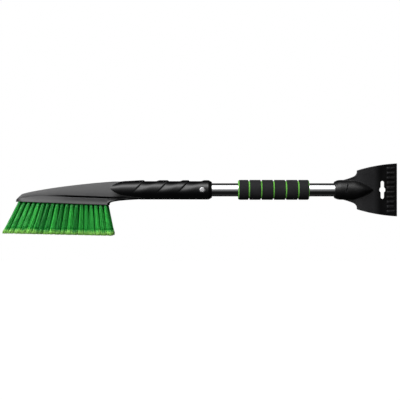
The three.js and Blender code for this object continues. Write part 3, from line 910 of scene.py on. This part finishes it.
def bristle_tree():
    """Geometry nodes for one file of tufts: filaments leave round holes tightly packed, spread
    towards their tips, wave a little and end at slightly different lengths."""
    tree = bpy.data.node_groups.new("Bristle file", "GeometryNodeTree")
    tree.interface.new_socket("Geometry", in_out="OUTPUT", socket_type="NodeSocketGeometry")
    for label, kind in BRISTLE_INPUTS:
        tree.interface.new_socket(label, in_out="INPUT", socket_type=kind)
    given = tree.nodes.new("NodeGroupInput").outputs
    out = tree.nodes.new("NodeGroupOutput")
    seed = given["Seed"]

    filaments = math_node(tree, "MULTIPLY", given["Rows"], given["Filaments"])
    cloud = add_node(tree, "GeometryNodePoints", {"Count": filaments})
    index = add_node(tree, "GeometryNodeInputIndex").outputs[0]
    row = math_node(tree, "FLOOR", math_node(tree, "DIVIDE", index, given["Filaments"]))
    middle = math_node(tree, "DIVIDE", math_node(tree, "SUBTRACT", given["Rows"], 1.0), 2.0)
    from_middle = math_node(tree, "SUBTRACT", row, middle)
    row_y = math_node(tree, "MULTIPLY", from_middle, given["Row Pitch"])
    outward = math_node(tree, "DIVIDE", from_middle, middle)

    # A place in the round tuft, even over its area, kept from root to tip.
    angle = random_value(tree, 0.0, 2 * math.pi, seed, 1)
    spread_out = math_node(tree, "SQRT", random_value(tree, 0.0, 1.0, seed, 2))
    side_x = math_node(tree, "MULTIPLY", math_node(tree, "COSINE", angle), spread_out)
    side_y = math_node(tree, "MULTIPLY", math_node(tree, "SINE", angle), spread_out)
    root_x = math_node(tree, "MULTIPLY", side_x, given["Root Reach"])
    root_y = scaled(tree, side_y, given["Root Reach"], row_y)
    lean_y = scaled(tree, outward, given["Flare"], row_y)
    tip_y = scaled(tree, side_y, given["Tip Reach"], lean_y)
    tip_x = scaled(tree, side_x, given["Tip Reach"], random_value(tree, -TIP_JITTER, TIP_JITTER, seed, 3))
    shorter = math_node(tree, "POWER", random_value(tree, 0.0, 1.0, seed, 4), 3.0)
    tip_z = math_node(tree, "MULTIPLY", shorter, TIP_SHORTENING)
    root = vector_math(tree, "ADD", given["Root"], combine(tree, root_x, root_y))
    tip = vector_math(tree, "ADD", given["Tip"], combine(tree, tip_x, tip_y, tip_z))
    geometry = store_attribute(tree, cloud.outputs[0], "root_at", "FLOAT_VECTOR", root)
    geometry = store_attribute(tree, geometry, "tip_at", "FLOAT_VECTOR", tip)
    shared = random_value(tree, -0.35, 0.35, seed, 7)
    link(tree, row, shared.node.inputs["ID"])
    tint = math_node(tree, "ADD", random_value(tree, 0.0, 1.0, seed, 5), shared)
    geometry = store_attribute(tree, geometry, "tint", "FLOAT", tint)
    geometry = store_attribute(tree, geometry, "phase", "FLOAT", random_value(tree, 0.0, 6.283, seed, 6))

    # Every filament splits into finer ends that spread apart.
    ends = add_node(tree, "GeometryNodeDuplicateElements", domain="POINT")
    link(tree, geometry, ends.inputs["Geometry"])
    link(tree, given["Split Ends"], ends.inputs["Amount"])
    stray = combine(tree, random_value(tree, -STRAY, STRAY, seed, 8),
                    random_value(tree, -STRAY, STRAY, seed, 9),
                    random_value(tree, -STRAY, 0.9 * MM, seed, 10))
    fine = store_attribute(tree, ends.outputs[0], "stray", "FLOAT_VECTOR", stray)
    stems = strands(tree, geometry, 8, 0.0, SPLIT_AT + STEM_OVERLAP, given["Crimp"])
    tips = strands(tree, fine, 3, SPLIT_AT, 1.0, given["Crimp"], strays=True)
    both = add_node(tree, "GeometryNodeJoinGeometry")
    for part, width in ((stems, 1.0), (tips, 0.95)):
        thin = add_node(tree, "GeometryNodeSetCurveRadius", {"Curve": part, "Radius": width})
        link(tree, thin.outputs[0], both.inputs[0])

    ring = add_node(tree, "GeometryNodeCurvePrimitiveCircle", {"Resolution": 3, "Radius": given["Radius"]})
    solid = add_node(tree, "GeometryNodeCurveToMesh", {
        "Curve": both.outputs[0], "Profile Curve": ring.outputs[0], "Fill Caps": True})
    geometry = solid.outputs[0]
    for name in ("root_at", "tip_at", "phase", "stray"):
        drop = add_node(tree, "GeometryNodeRemoveAttribute", {"Geometry": geometry, "Name": name})
        geometry = drop.outputs[0]
    last = add_node(tree, "GeometryNodeRealizeInstances", {0: geometry})
    dressed = add_node(tree, "GeometryNodeSetMaterial", {
        "Geometry": last.outputs[0], "Material": given["Material"]})
    link(tree, dressed.outputs[0], out.inputs["Geometry"])
    return tree


def tuft_line(index):
    """Root and tip of a file's middle line, from the frame's own numbers for the fan."""
    root_x = (-313.6 + 8.17 * index) * MM
    tip_x = (-338.9 + 10.04 * index) * MM
    tip_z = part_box(COLUMNS[index])[0].z
    return (root_x, 0, face_z(root_x) + 1 * MM), (tip_x, 0, tip_z)


class BROOM_OT_bristles(bpy.types.Operator):
    """Grows the files of bristle tufts under the block"""

    bl_idname = "broom.bristles"
    bl_label = "Bristles"

    def execute(self, context):
        sizes = context.scene.broom_sizes
        tree = bristle_tree()
        identifiers = {item.name: item.identifier for item in tree.interface.items_tree}
        for index, node in enumerate(COLUMNS):
            root, tip = tuft_line(index)
            values = {
                "Root": root, "Tip": tip, "Rows": 5, "Row Pitch": 9 * MM, "Split Ends": sizes.split_ends,
                "Filaments": sizes.filaments, "Root Reach": 2.5 * MM, "Tip Reach": 4.7 * MM,
                "Flare": 2.2 * MM, "Radius": sizes.filament_radius, "Crimp": sizes.crimp,
                "Seed": FIRST_SEED + index, "Material": MATERIALS["bristle_green"],
            }
            holder = scratch_object("bristle_holder", bpy.data.meshes.new("bristle_holder"))
            growth = holder.modifiers.new("growth", "NODES")
            growth.node_group = tree
            for label, value in values.items():
                growth[identifiers[label]] = value
            name = node.replace("column", "file")
            mesh = evaluated_copy(holder, name)
            finish_piece(name, mesh, "brush_head", "bristle_green", [node], sharp_degrees=180)
        return {"FINISHED"}


# ---- tube, button, spring and rivet --------------------------------------------------------------
class BROOM_OT_tube(bpy.types.Operator):
    """Builds the aluminium tube with softened ends and its two holes"""

    bl_idname = "broom.tube"
    bl_label = "Pole tube"

    def execute(self, context):
        inner = TUBE_RADIUS - TUBE_WALL
        corners = [(TUBE_LOW.x, inner), (TUBE_LOW.x, TUBE_RADIUS), (TUBE_HIGH.x, TUBE_RADIUS),
                   (TUBE_HIGH.x, inner)]
        mesh = turned("tube_raw", rounded(corners, [0.3 * MM] * 4, 3), facets=160,
                      centre=(0, 0, POLE_Z))
        raw = scratch_object("tube_raw", mesh)
        cutters = []
        for x, radius, ends in ((BUTTON_X, BUTTON_RADIUS + CLEARANCE, (-TUBE_RADIUS - 1 * MM, 0)),
                                (RIVET_X, RIVET_HOLE_RADIUS, (0, TUBE_RADIUS + 1 * MM))):
            profile = [(ends[0], 0), (ends[0], radius), (ends[1], radius), (ends[1], 0)]
            cutter = scratch_object("tube_cutter", turned(
                "tube_cutter", profile, 48, "Y", (x, 0, POLE_Z), closed=False))
            cut_with(raw, cutter)
            cutters.append(cutter)
        mesh = evaluated_copy(raw, "tube")
        for cutter in cutters:
            bpy.data.objects.remove(cutter)
        finish_piece("tube", mesh, "pole", "tube_aluminium", ["pole_tube"])
        return {"FINISHED"}


class BROOM_OT_button(bpy.types.Operator):
    """Builds the lock button with its rounded rim and shallow dish"""

    bl_idname = "broom.button"
    bl_label = "Lock button"

    def execute(self, context):
        top, base = BUTTON_LOW.y, BUTTON_HIGH.y
        r = BUTTON_RADIUS
        # Depth below the top in millimetres, and share of the radius.
        crown = ((0.02, 0), (0, 0.3), (0.03, 0.6), (0.1, 0.78), (0.28, 0.9), (0.6, 0.97), (1.1, 1))
        outline = [(top + depth * MM, share * r) for depth, share in crown]
        outline += [(base - 0.3 * MM, r), (base, r - 0.3 * MM), (base, 0)]
        mesh = turned("button", outline, 72, "Y", (BUTTON_X, 0, POLE_Z), closed=False)
        finish_piece("button", mesh, "lock_button", "button_steel", ["lock_button"], sharp_degrees=60)
        return {"FINISHED"}


class BROOM_OT_spring(bpy.types.Operator):
    """Bends the V-shaped leaf spring inside the tube"""

    bl_idname = "broom.spring"
    bl_label = "Lock spring"

    def execute(self, context):
        leg = SPRING_HIGH.y
        thick = 0.8 * MM
        half_width = (SPRING_HIGH.z - SPRING_LOW.z) / 2
        path = part_curve([(SPRING_HIGH.x, -leg + thick / 2), (BUTTON_X - 8 * MM, -leg + thick / 2),
                           (SPRING_LOW.x + 5 * MM, -0.45 * leg), (SPRING_LOW.x + thick, 0.1 * leg),
                           (SPRING_LOW.x + 5 * MM, 0.5 * leg), (SPRING_HIGH.x, leg - thick / 2)], 60)
        run = np.gradient(path, axis=0)
        run /= np.linalg.norm(run, axis=1)[:, None]
        side = np.column_stack([-run[:, 1], run[:, 0]]) * thick / 2
        points = []
        for here, off in zip(path, side):
            for sign, up in ((1, 1), (-1, 1), (-1, -1), (1, -1)):
                points.append((here[0] + sign * off[0], here[1] + sign * off[1], POLE_Z + up * half_width))
        count = len(path)
        faces = [(4 * i + a, 4 * i + (a + 1) % 4, 4 * i + 4 + (a + 1) % 4, 4 * i + 4 + a)
                 for i in range(count - 1) for a in range(4)]
        faces += [(3, 2, 1, 0), tuple(4 * count - 4 + a for a in range(4))]
        mesh = mesh_from("spring", points, faces)
        piece = scratch_object("spring", mesh)
        mesh.shade_smooth()
        mesh.set_sharp_from_angle(angle=math.radians(40))
        mesh.materials.append(MATERIALS["spring_steel"])
        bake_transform(piece)
        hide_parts("lock_spring")
        return {"FINISHED"}


class BROOM_OT_rivet(bpy.types.Operator):
    """Builds the domed rivet on the back of the scraper's socket"""

    bl_idname = "broom.rivet"
    bl_label = "Scraper rivet"

    def execute(self, context):
        low, high = RIVET_LOW.y, RIVET_HIGH.y
        head = (RIVET_HIGH.x - RIVET_LOW.x) / 2
        shank = 2 * MM
        seat = high - 1.6 * MM
        outline = [(low, 0), (low, shank), (seat, shank), (seat, head), (seat + 0.3 * MM, head)]
        for step in range(1, 9):
            turn = step / 8 * math.pi / 2
            height = seat + 0.3 * MM + 1.1 * MM * math.sin(turn)
            outline.append((height, max(head * math.cos(turn), 0.9 * MM)))
        outline += [(high - 0.6 * MM, 0.8 * MM), (high - 0.6 * MM, 0)]
        mesh = turned("rivet", outline, 48, "Y", (RIVET_X, 0, POLE_Z), closed=False)
        finish_piece("rivet", mesh, "pole", "rivet_aluminium", ["scraper_rivet"])
        return {"FINISHED"}


# ---- foam grip -----------------------------------------------------------------------------------
LIPS = (1.5 * MM, 0.8 * MM)  # length of the green lips in front of the first band and after the last
LIP_HEIGHT = 1.3 * MM
BAND_GAP = 0.1 * MM  # between a lip and the band next to it


class BROOM_OT_grip(bpy.types.Operator):
    """Builds the foam grip: the green core and the black bands"""

    bl_idname = "broom.grip"
    bl_label = "Foam grip"

    def execute(self, context):
        edge = context.scene.broom_sizes.foam_edge
        inner = TUBE_RADIUS + CLEARANCE
        outer = (CORE_HIGH.z - CORE_LOW.z) / 2
        lip = outer + LIP_HEIGHT
        corners = [(CORE_LOW.x, inner), (CORE_LOW.x, lip), (CORE_LOW.x + LIPS[0], lip),
                   (CORE_LOW.x + LIPS[0], outer), (CORE_HIGH.x - LIPS[1], outer),
                   (CORE_HIGH.x - LIPS[1], lip), (CORE_HIGH.x, lip), (CORE_HIGH.x, inner)]
        rounds = [0, 0.5 * MM, 0.2 * MM, 0.1 * MM, 0.1 * MM, 0.2 * MM, 0.5 * MM, 0]
        mesh = turned("core", rounded(corners, rounds), 120, centre=(0, 0, POLE_Z))
        core = finish_piece("foam_core", mesh, "pole", "foam_green", ["grip_core"])
        for number, node in enumerate(RINGS, start=1):
            low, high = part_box(node)
            radius = (high.z - low.z) / 2
            start = max(low.x, CORE_LOW.x + LIPS[0] + BAND_GAP)
            end = min(high.x, CORE_HIGH.x - LIPS[1] - BAND_GAP)
            middle = (start + end) / 2
            base = outer + CLEARANCE
            corners = [(start, base), (start, radius), (middle, radius), (end, radius), (end, base)]
            mesh = turned("band", rounded(corners, [0.3 * MM, edge, 0, edge, 0.3 * MM], 7), 144,
                          centre=(0, 0, POLE_Z))
            band = finish_piece(f"foam_band_{number}", mesh, "pole", "foam_black", [node], sharp_degrees=70)
        return {"FINISHED"}


# ---- ice scraper ---------------------------------------------------------------------------------
SHOULDER_X = 271.4 * MM
SLOT_X = 315.7 * MM
SOCKET_RADIUS = 17.3 * MM
DOME_X, DOME_TIP_X = 264 * MM, 302 * MM  # where the socket's dome starts and ends
BLADE_FRONT, BLADE_BACK = -5.5 * MM, 3.5 * MM
FAR_X = SCRAPER_HIGH.x + 5 * MM  # past the scraper's edge
RIBS, RIB_PITCH = 10, 8.37 * MM
SEAM_X, SEAM_SLANT = 250.0 * MM, 3.4 * MM  # the groove's lower end, and how far its upper end lies on
SEAM_HALF_WIDTH, SEAM_FLOOR, SEAM_OUTSIDE = 1.2 * MM, 14.2 * MM, 19 * MM


def prism(name, outline, low, high, axis="Y"):
    """A flat outline filled from low to high along Y or Z. It is drawn in the two other axes."""
    points = []
    for depth in (low, high):
        for first, second in outline:
            points.append((first, depth, second) if axis == "Y" else (first, second, depth))
    count = len(outline)
    faces = [tuple(range(count)), tuple(range(2 * count - 1, count - 1, -1))]
    faces += [(i, (i + 1) % count, count + (i + 1) % count, count + i) for i in range(count)]
    return mesh_from(name, points, faces)


def joined(name, meshes):
    """One mesh from several that lie apart."""
    shell = bmesh.new()
    for mesh in meshes:
        shell.from_mesh(mesh)
        bpy.data.meshes.remove(mesh)
    mesh = bpy.data.meshes.new(name)
    shell.to_mesh(mesh)
    shell.free()
    return mesh


def quadratic(start, control, end, steps=16):
    """Points along a quadratic curve, without its start."""
    share = np.linspace(0, 1, steps + 1)[1:, None]
    start, control, end = (np.array(point) for point in (start, control, end))
    return (1 - share) ** 2 * start + 2 * share * (1 - share) * control + share ** 2 * end


def blade_outline():
    """Outline of the blade and its flare in X and Z."""
    start = SCRAPER_LOW.x / MM + 12.5
    shoulder = SHOULDER_X / MM
    edge = SCRAPER_HIGH.x / MM
    edge_half = (SCRAPER_HIGH.z - SCRAPER_LOW.z) / 2 / MM
    neck = (start + 22, 23.5)
    corner = (shoulder - 0.2, 30)
    side = np.vstack([
        [(start, 16.4)], quadratic((start, 16.4), (start + 14, 19.9), neck),
        quadratic(neck, (shoulder - 1, 26), corner), [(shoulder, 34)],
        quadratic((shoulder, 34), (edge - 37, edge_half - 2), (edge, edge_half), 30)]) * MM
    other = side[::-1] * (1, -1)
    return [(x, POLE_Z + z) for x, z in np.vstack([side, other])]


def blade_front(x):
    """Depth of the blade's front, which thins in an easy curve towards the edge."""
    return blend(BLADE_FRONT, 1.5 * MM, smoothstep(x, SHOULDER_X, FAR_X))


def ice_rib(index):
    """One ice-breaking rib with sloping ends."""
    start, end, height, width = 323.2 * MM, 337.6 * MM, 1.7 * MM, 3.2 * MM
    along = np.linspace(start, end, 9)
    up = np.clip(np.minimum(along - start, end - along) / height, 0, 1) * height
    outer = [(x, blade_front(x) - h) for x, h in zip(along, up)]
    outline = outer + [(end, blade_front(end) + 1 * MM), (start, blade_front(start) + 1 * MM)]
    middle = POLE_Z + (index - (RIBS - 1) / 2) * RIB_PITCH
    return prism("rib", outline, middle - width / 2, middle + width / 2, axis="Z")


def slot_outline():
    """The hanging slot: long, with a wider round middle."""
    radius, bulge = 3.3 * MM, 5.6 * MM
    straight = 15.75 * MM - radius
    joins = math.asin(radius / bulge)
    points = []
    for height, size, start, end in (
            (straight, radius, 0, math.pi), (0, bulge, math.pi / 2 + joins, 1.5 * math.pi - joins),
            (-straight, radius, math.pi, 2 * math.pi), (0, bulge, -math.pi / 2 + joins, math.pi / 2 - joins)):
        for angle in np.linspace(start, end, 16):
            points.append((SLOT_X + size * math.cos(angle), POLE_Z + height + size * math.sin(angle)))
    return points


def seam_groove():
    """The slanted groove across the front of the socket."""
    points = []
    turns = np.radians(np.linspace(-12, 36, 25))
    for turn in turns:
        x = SEAM_X + SEAM_SLANT * (turn - turns[0]) / (turns[-1] - turns[0])
        for side, radius in ((-1, SEAM_FLOOR), (1, SEAM_FLOOR), (1, SEAM_OUTSIDE), (-1, SEAM_OUTSIDE)):
            up = POLE_Z + radius * math.sin(turn)
            points.append((x + side * SEAM_HALF_WIDTH, -radius * math.cos(turn), up))
    last = 4 * (len(turns) - 1)
    faces = [(i + a, i + 4 + a, i + 4 + (a + 1) % 4, i + (a + 1) % 4)
             for i in range(0, last, 4) for a in range(4)]
    return mesh_from("seam", points, faces + [(0, 1, 2, 3), (last + 3, last + 2, last + 1, last)])


def socket_profile():
    """Profile of the socket from its mouth to the tip of its dome."""
    mouth, radius = SCRAPER_LOW.x, SOCKET_RADIUS
    profile = [(mouth, 0), (mouth, radius - 3.4 * MM), (mouth + 0.6 * MM, radius - 2.6 * MM),
               (mouth + 3.6 * MM, radius - 1.5 * MM), (mouth + 4.2 * MM, radius - 0.9 * MM),
               (mouth + 9 * MM, radius - 0.1 * MM), (mouth + 13 * MM, radius), (DOME_X, radius)]
    for share in np.linspace(0, 1, 25)[1:]:
        profile.append((blend(DOME_X, DOME_TIP_X, share), radius * (1 - share ** 1.35)))
    return profile


def socket_mesh():
    """The socket; its dome keeps its depth for longer than its height."""
    mesh = turned("socket", socket_profile(), 128, centre=(0, 0, POLE_Z), closed=False)
    for vertex in mesh.vertices:
        share = np.clip((vertex.co.x - DOME_X) / (DOME_TIP_X - DOME_X), 0, 0.97)
        vertex.co.y *= (1 - share ** 3.2) / (1 - share ** 1.35)
    return mesh


def mark_scraper(mesh):
    """Marks the blade's left part for its painted sheen, where shade is painted (towards the blade's edge and
    in the seam), and the edges, which get scuffs and a painted highlight.
    """
    x, y, z = positions(mesh).T
    on_blade = y > blade_front(x) - 0.6 * MM
    # Painted sheen on the blade's left part, and painted shade towards its edge.
    towards_edge = smoothstep(x, 298 * MM, 313 * MM)
    store(mesh, "painted_sheen", on_blade * smoothstep(x, 262 * MM, 272 * MM) * (1 - towards_edge))
    # Painted shade in the seam groove.
    under_skin = (y < 0) & (np.hypot(y, z - POLE_Z) < SOCKET_RADIUS - 0.5 * MM)
    in_seam = under_skin & (np.abs(x - SEAM_X - SEAM_SLANT / 2) < 4 * MM)
    store(mesh, "painted_shade", np.maximum(towards_edge, 1.2 * in_seam))
    store(mesh, "edge", edge_marks(mesh))


class BROOM_OT_scraper(bpy.types.Operator):
    """Builds the ice scraper: socket, blade, ribs and hanging slot"""

    bl_idname = "broom.scraper"
    bl_label = "Ice scraper"

    def execute(self, context):
        axis = (0, 0, POLE_Z)
        raw = scratch_object("scraper_raw", prism("blade", blade_outline(), BLADE_FRONT, BLADE_BACK))
        far_front, far_up = -30 * MM, 70 * MM
        front = [(x, blade_front(x)) for x in np.linspace(SHOULDER_X, FAR_X, 30)]
        wedge = [(SHOULDER_X, far_front)] + front + [(FAR_X, far_front)]
        bore_start, bore_end = SCRAPER_LOW.x - 1 * MM, TUBE_HIGH.x + CLEARANCE
        outline = [(bore_start, 0), (bore_start, BORE_RADIUS), (bore_end, BORE_RADIUS), (bore_end, 0)]
        bore = turned("bore", outline, 96, centre=axis, closed=False)
        slot = prism("slot", slot_outline(), -20 * MM, 20 * MM)
        hole = [(0, 0), (0, RIVET_HOLE_RADIUS), (20 * MM, RIVET_HOLE_RADIUS), (20 * MM, 0)]
        rivet_hole = turned("rivet_hole", hole, 48, "Y", (RIVET_X, 0, POLE_Z), closed=False)
        before = (
            ("DIFFERENCE", prism("wedge", wedge, POLE_Z - far_up, POLE_Z + far_up, axis="Z")),
            ("UNION", joined("ribs", [ice_rib(index) for index in range(RIBS)])),
            ("UNION", socket_mesh()),
        )
        after = (("DIFFERENCE", joined("openings", [bore, slot, seam_groove()])), ("DIFFERENCE", rivet_hole))
        tools = []
        for operation, mesh in before:
            tools.append(scratch_object("tool", mesh))
            cut_with(raw, tools[-1], operation)
        skin = raw.modifiers.new("skin", "REMESH")
        skin.mode = "VOXEL"
        skin.voxel_size = 0.5 * MM
        soften = raw.modifiers.new("soften", "SMOOTH")
        soften.factor = 0.5
        soften.iterations = 3
        for operation, mesh in after:
            tools.append(scratch_object("tool", mesh))
            cut_with(raw, tools[-1], operation)
        mesh = evaluated_copy(raw, "scraper")
        for tool in tools:
            bpy.data.objects.remove(tool)
        mark_scraper(mesh)
        finish_piece("scraper", mesh, "pole", "scraper_plastic", ["ice_scraper"], sharp_degrees=50)
        return {"FINISHED"}


# ---- stage ---------------------------------------------------------------------------------------
CAMERA_DISTANCE = 1.6
CAMERA_X, CAMERA_Z = -0.0028, 0.0611
PLANE_WIDTH = 0.6984  # what the camera sees at the pole's depth
FLOOR_Z, FLOOR_REACH = -0.45, 6.0
# Soft fills: name, place and power. They brighten what the softbox leaves dark.
FILLS = (("fill_front", (-0.2, -1.4, 0.05), 7.5), ("fill_back", (0.2, 1.5, 0.9), 8))
FILL_SIZE = (1.6, 0.8)


def soft_light(name, place, aim, size, power):
    """An area light that points at a place."""
    lamp = bpy.data.lights.new(name, "AREA")
    lamp.shape = "RECTANGLE"
    lamp.size, lamp.size_y = size
    lamp.energy = power
    item = bpy.data.objects.new(name, lamp)
    item.location = place
    item.rotation_euler = (Vector(aim) - Vector(place)).to_track_quat("-Z", "Y").to_euler()
    bpy.context.scene.collection.objects.link(item)
    return item


# Brightness of the studio by height in degrees, seen from the object: 0 is level with the camera,
# 90 is overhead. One big softbox stands in front and above, with a weak glow around it.
GLOW = ((-90, 0.02), (-60, 0.005), (-46, 0.01), (-28, 0.04), (-10, 0.15), (0, 0.32), (8, 0.5), (15, 0.8),
        (22, 1.25), (30, 2.0), (38, 3.2), (46, 4.6), (53, 5.0), (60, 4.4), (68, 2.7), (76, 1.3), (84, 0.6),
        (93, 0.15), (105, 0.02), (125, 0.01), (150, 0.03), (180, 0.06))
GLOW_SIDES = (-88, -66, 9.4, 11.2)  # where the softbox starts and ends from left to right, in degrees


def studio_world():
    """White behind the object, and a softbox in a dark room for everything else."""
    world = bpy.data.worlds.new("studio")
    bpy.context.scene.world = world
    world.use_nodes = True
    tree = world.node_tree
    tree.nodes.clear()
    seen = add_node(tree, "ShaderNodeBackground", {"Color": (1, 1, 1, 1)})
    place = add_node(tree, "ShaderNodeTexCoord").outputs["Generated"]
    way = add_node(tree, "ShaderNodeSeparateXYZ", {0: place})
    ahead = math_node(tree, "MULTIPLY", way.outputs["Y"], -1.0)
    height = math_node(tree, "ARCTAN2", way.outputs["Z"], ahead)
    side = math_node(tree, "ARCSINE", way.outputs["X"])
    degrees = 180 / math.pi
    brightest = max(value for _, value in GLOW)
    ramp = add_node(tree, "ShaderNodeValToRGB")
    ramp.color_ramp.interpolation = "CARDINAL"
    low, high = GLOW[0][0], GLOW[-1][0]
    stops = ramp.color_ramp.elements
    for index, (angle, value) in enumerate(GLOW):
        place = (angle - low) / (high - low)
        stop = stops[index] if index < 2 else stops.new(place)
        stop.position = place
        stop.color = (value / brightest,) * 3 + (1,)
    share = scaled(tree, height, degrees / (high - low), -low / (high - low))
    link(tree, share, ramp.inputs[0])
    turn = math_node(tree, "MULTIPLY", side, degrees)
    starts = spread(tree, turn, GLOW_SIDES[0], GLOW_SIDES[1], 0.03, 1)
    ends = spread(tree, turn, GLOW_SIDES[2], GLOW_SIDES[3], 1, 0.02)
    strength = math_node(tree, "MULTIPLY", math_node(tree, "MULTIPLY", starts, ends), brightest)
    room = add_node(tree, "ShaderNodeBackground", {"Color": ramp.outputs["Color"], "Strength": strength})
    camera_ray = add_node(tree, "ShaderNodeLightPath").outputs["Is Camera Ray"]
    pick = add_node(tree, "ShaderNodeMixShader", {0: camera_ray, 1: room.outputs[0], 2: seen.outputs[0]})
    add_node(tree, "ShaderNodeOutputWorld", {"Surface": pick.outputs[0]})


def pale_floor():
    """A plain pale floor below the object."""
    mesh = bpy.data.meshes.new("floor")
    corners = [(x * FLOOR_REACH, y * FLOOR_REACH, 0) for x, y in ((-1, -1), (1, -1), (1, 1), (-1, 1))]
    mesh.from_pydata(corners, [], [(0, 1, 2, 3)])
    floor = bpy.data.objects.new("floor", mesh)
    floor.location.z = FLOOR_Z
    bpy.context.scene.collection.objects.link(floor)
    material = bpy.data.materials.new("floor_pale")
    material.use_nodes = True
    tree = material.node_tree
    shader = tree.nodes["Principled BSDF"]
    finish = {"Base Color": (0.02, 0.02, 0.02, 1), "Roughness": 1.0, "Emission Color": (1, 1, 1, 1),
              "Emission Strength": 1.0}
    for label, value in finish.items():
        shader.inputs[label].default_value = value
    mesh.materials.append(material)
    # The floor is paper white to the camera and does not light the object from below.
    floor.visible_glossy = False
    floor.visible_diffuse = False


class BROOM_OT_stage(bpy.types.Operator):
    """Sets the pale floor, the soft studio light and the camera"""

    bl_idname = "broom.stage"
    bl_label = "Stage"

    def execute(self, context):
        studio_world()
        pale_floor()
        for name, place, power in FILLS:
            fill = soft_light(name, place, (0, 0, POLE_Z), FILL_SIZE, power)
            fill.visible_camera = False
            fill.visible_glossy = False
        lens_plane = PLANE_WIDTH / CAMERA_DISTANCE
        camera_data = bpy.data.cameras.new("camera")
        camera_data.sensor_width = 36
        camera_data.lens = camera_data.sensor_width / lens_plane
        camera = bpy.data.objects.new("camera", camera_data)
        camera.location = (CAMERA_X, -CAMERA_DISTANCE, CAMERA_Z)
        camera.rotation_euler = (math.pi / 2, 0, 0)
        context.scene.collection.objects.link(camera)
        context.scene.camera = camera
        context.scene.view_settings.view_transform = "Standard"
        return {"FINISHED"}


class BROOM_PT_panel(bpy.types.Panel):
    """Lists the broom's sizes, colours and building steps"""

    bl_idname = "BROOM_PT_panel"
    bl_label = "Snow Broom"
    bl_space_type = "VIEW_3D"
    bl_region_type = "UI"
    bl_category = "Snow Broom"

    def draw(self, context):
        for group in (context.scene.broom_sizes, context.scene.broom_colours):
            box = self.layout.box()
            for name in group.__annotations__:
                box.prop(group, name)
        for step in STEPS:
            self.layout.operator(step.bl_idname)


STEPS = (BROOM_OT_head, BROOM_OT_bristles, BROOM_OT_tube, BROOM_OT_button, BROOM_OT_spring,
         BROOM_OT_grip, BROOM_OT_scraper, BROOM_OT_rivet, BROOM_OT_stage)
CLASSES = (BroomSizes, BroomColours) + STEPS + (BROOM_PT_panel,)


def register():
    for item in CLASSES:
        bpy.utils.register_class(item)
    bpy.types.Scene.broom_sizes = PointerProperty(type=BroomSizes)
    bpy.types.Scene.broom_colours = PointerProperty(type=BroomColours)


def unregister():
    del bpy.types.Scene.broom_colours
    del bpy.types.Scene.broom_sizes
    for item in reversed(CLASSES):
        bpy.utils.unregister_class(item)


def main():
    register()
    make_materials()
    for step in STEPS:
        getattr(bpy.ops.broom, step.bl_idname.split(".")[1])()


if __name__ == "__main__":
    main()
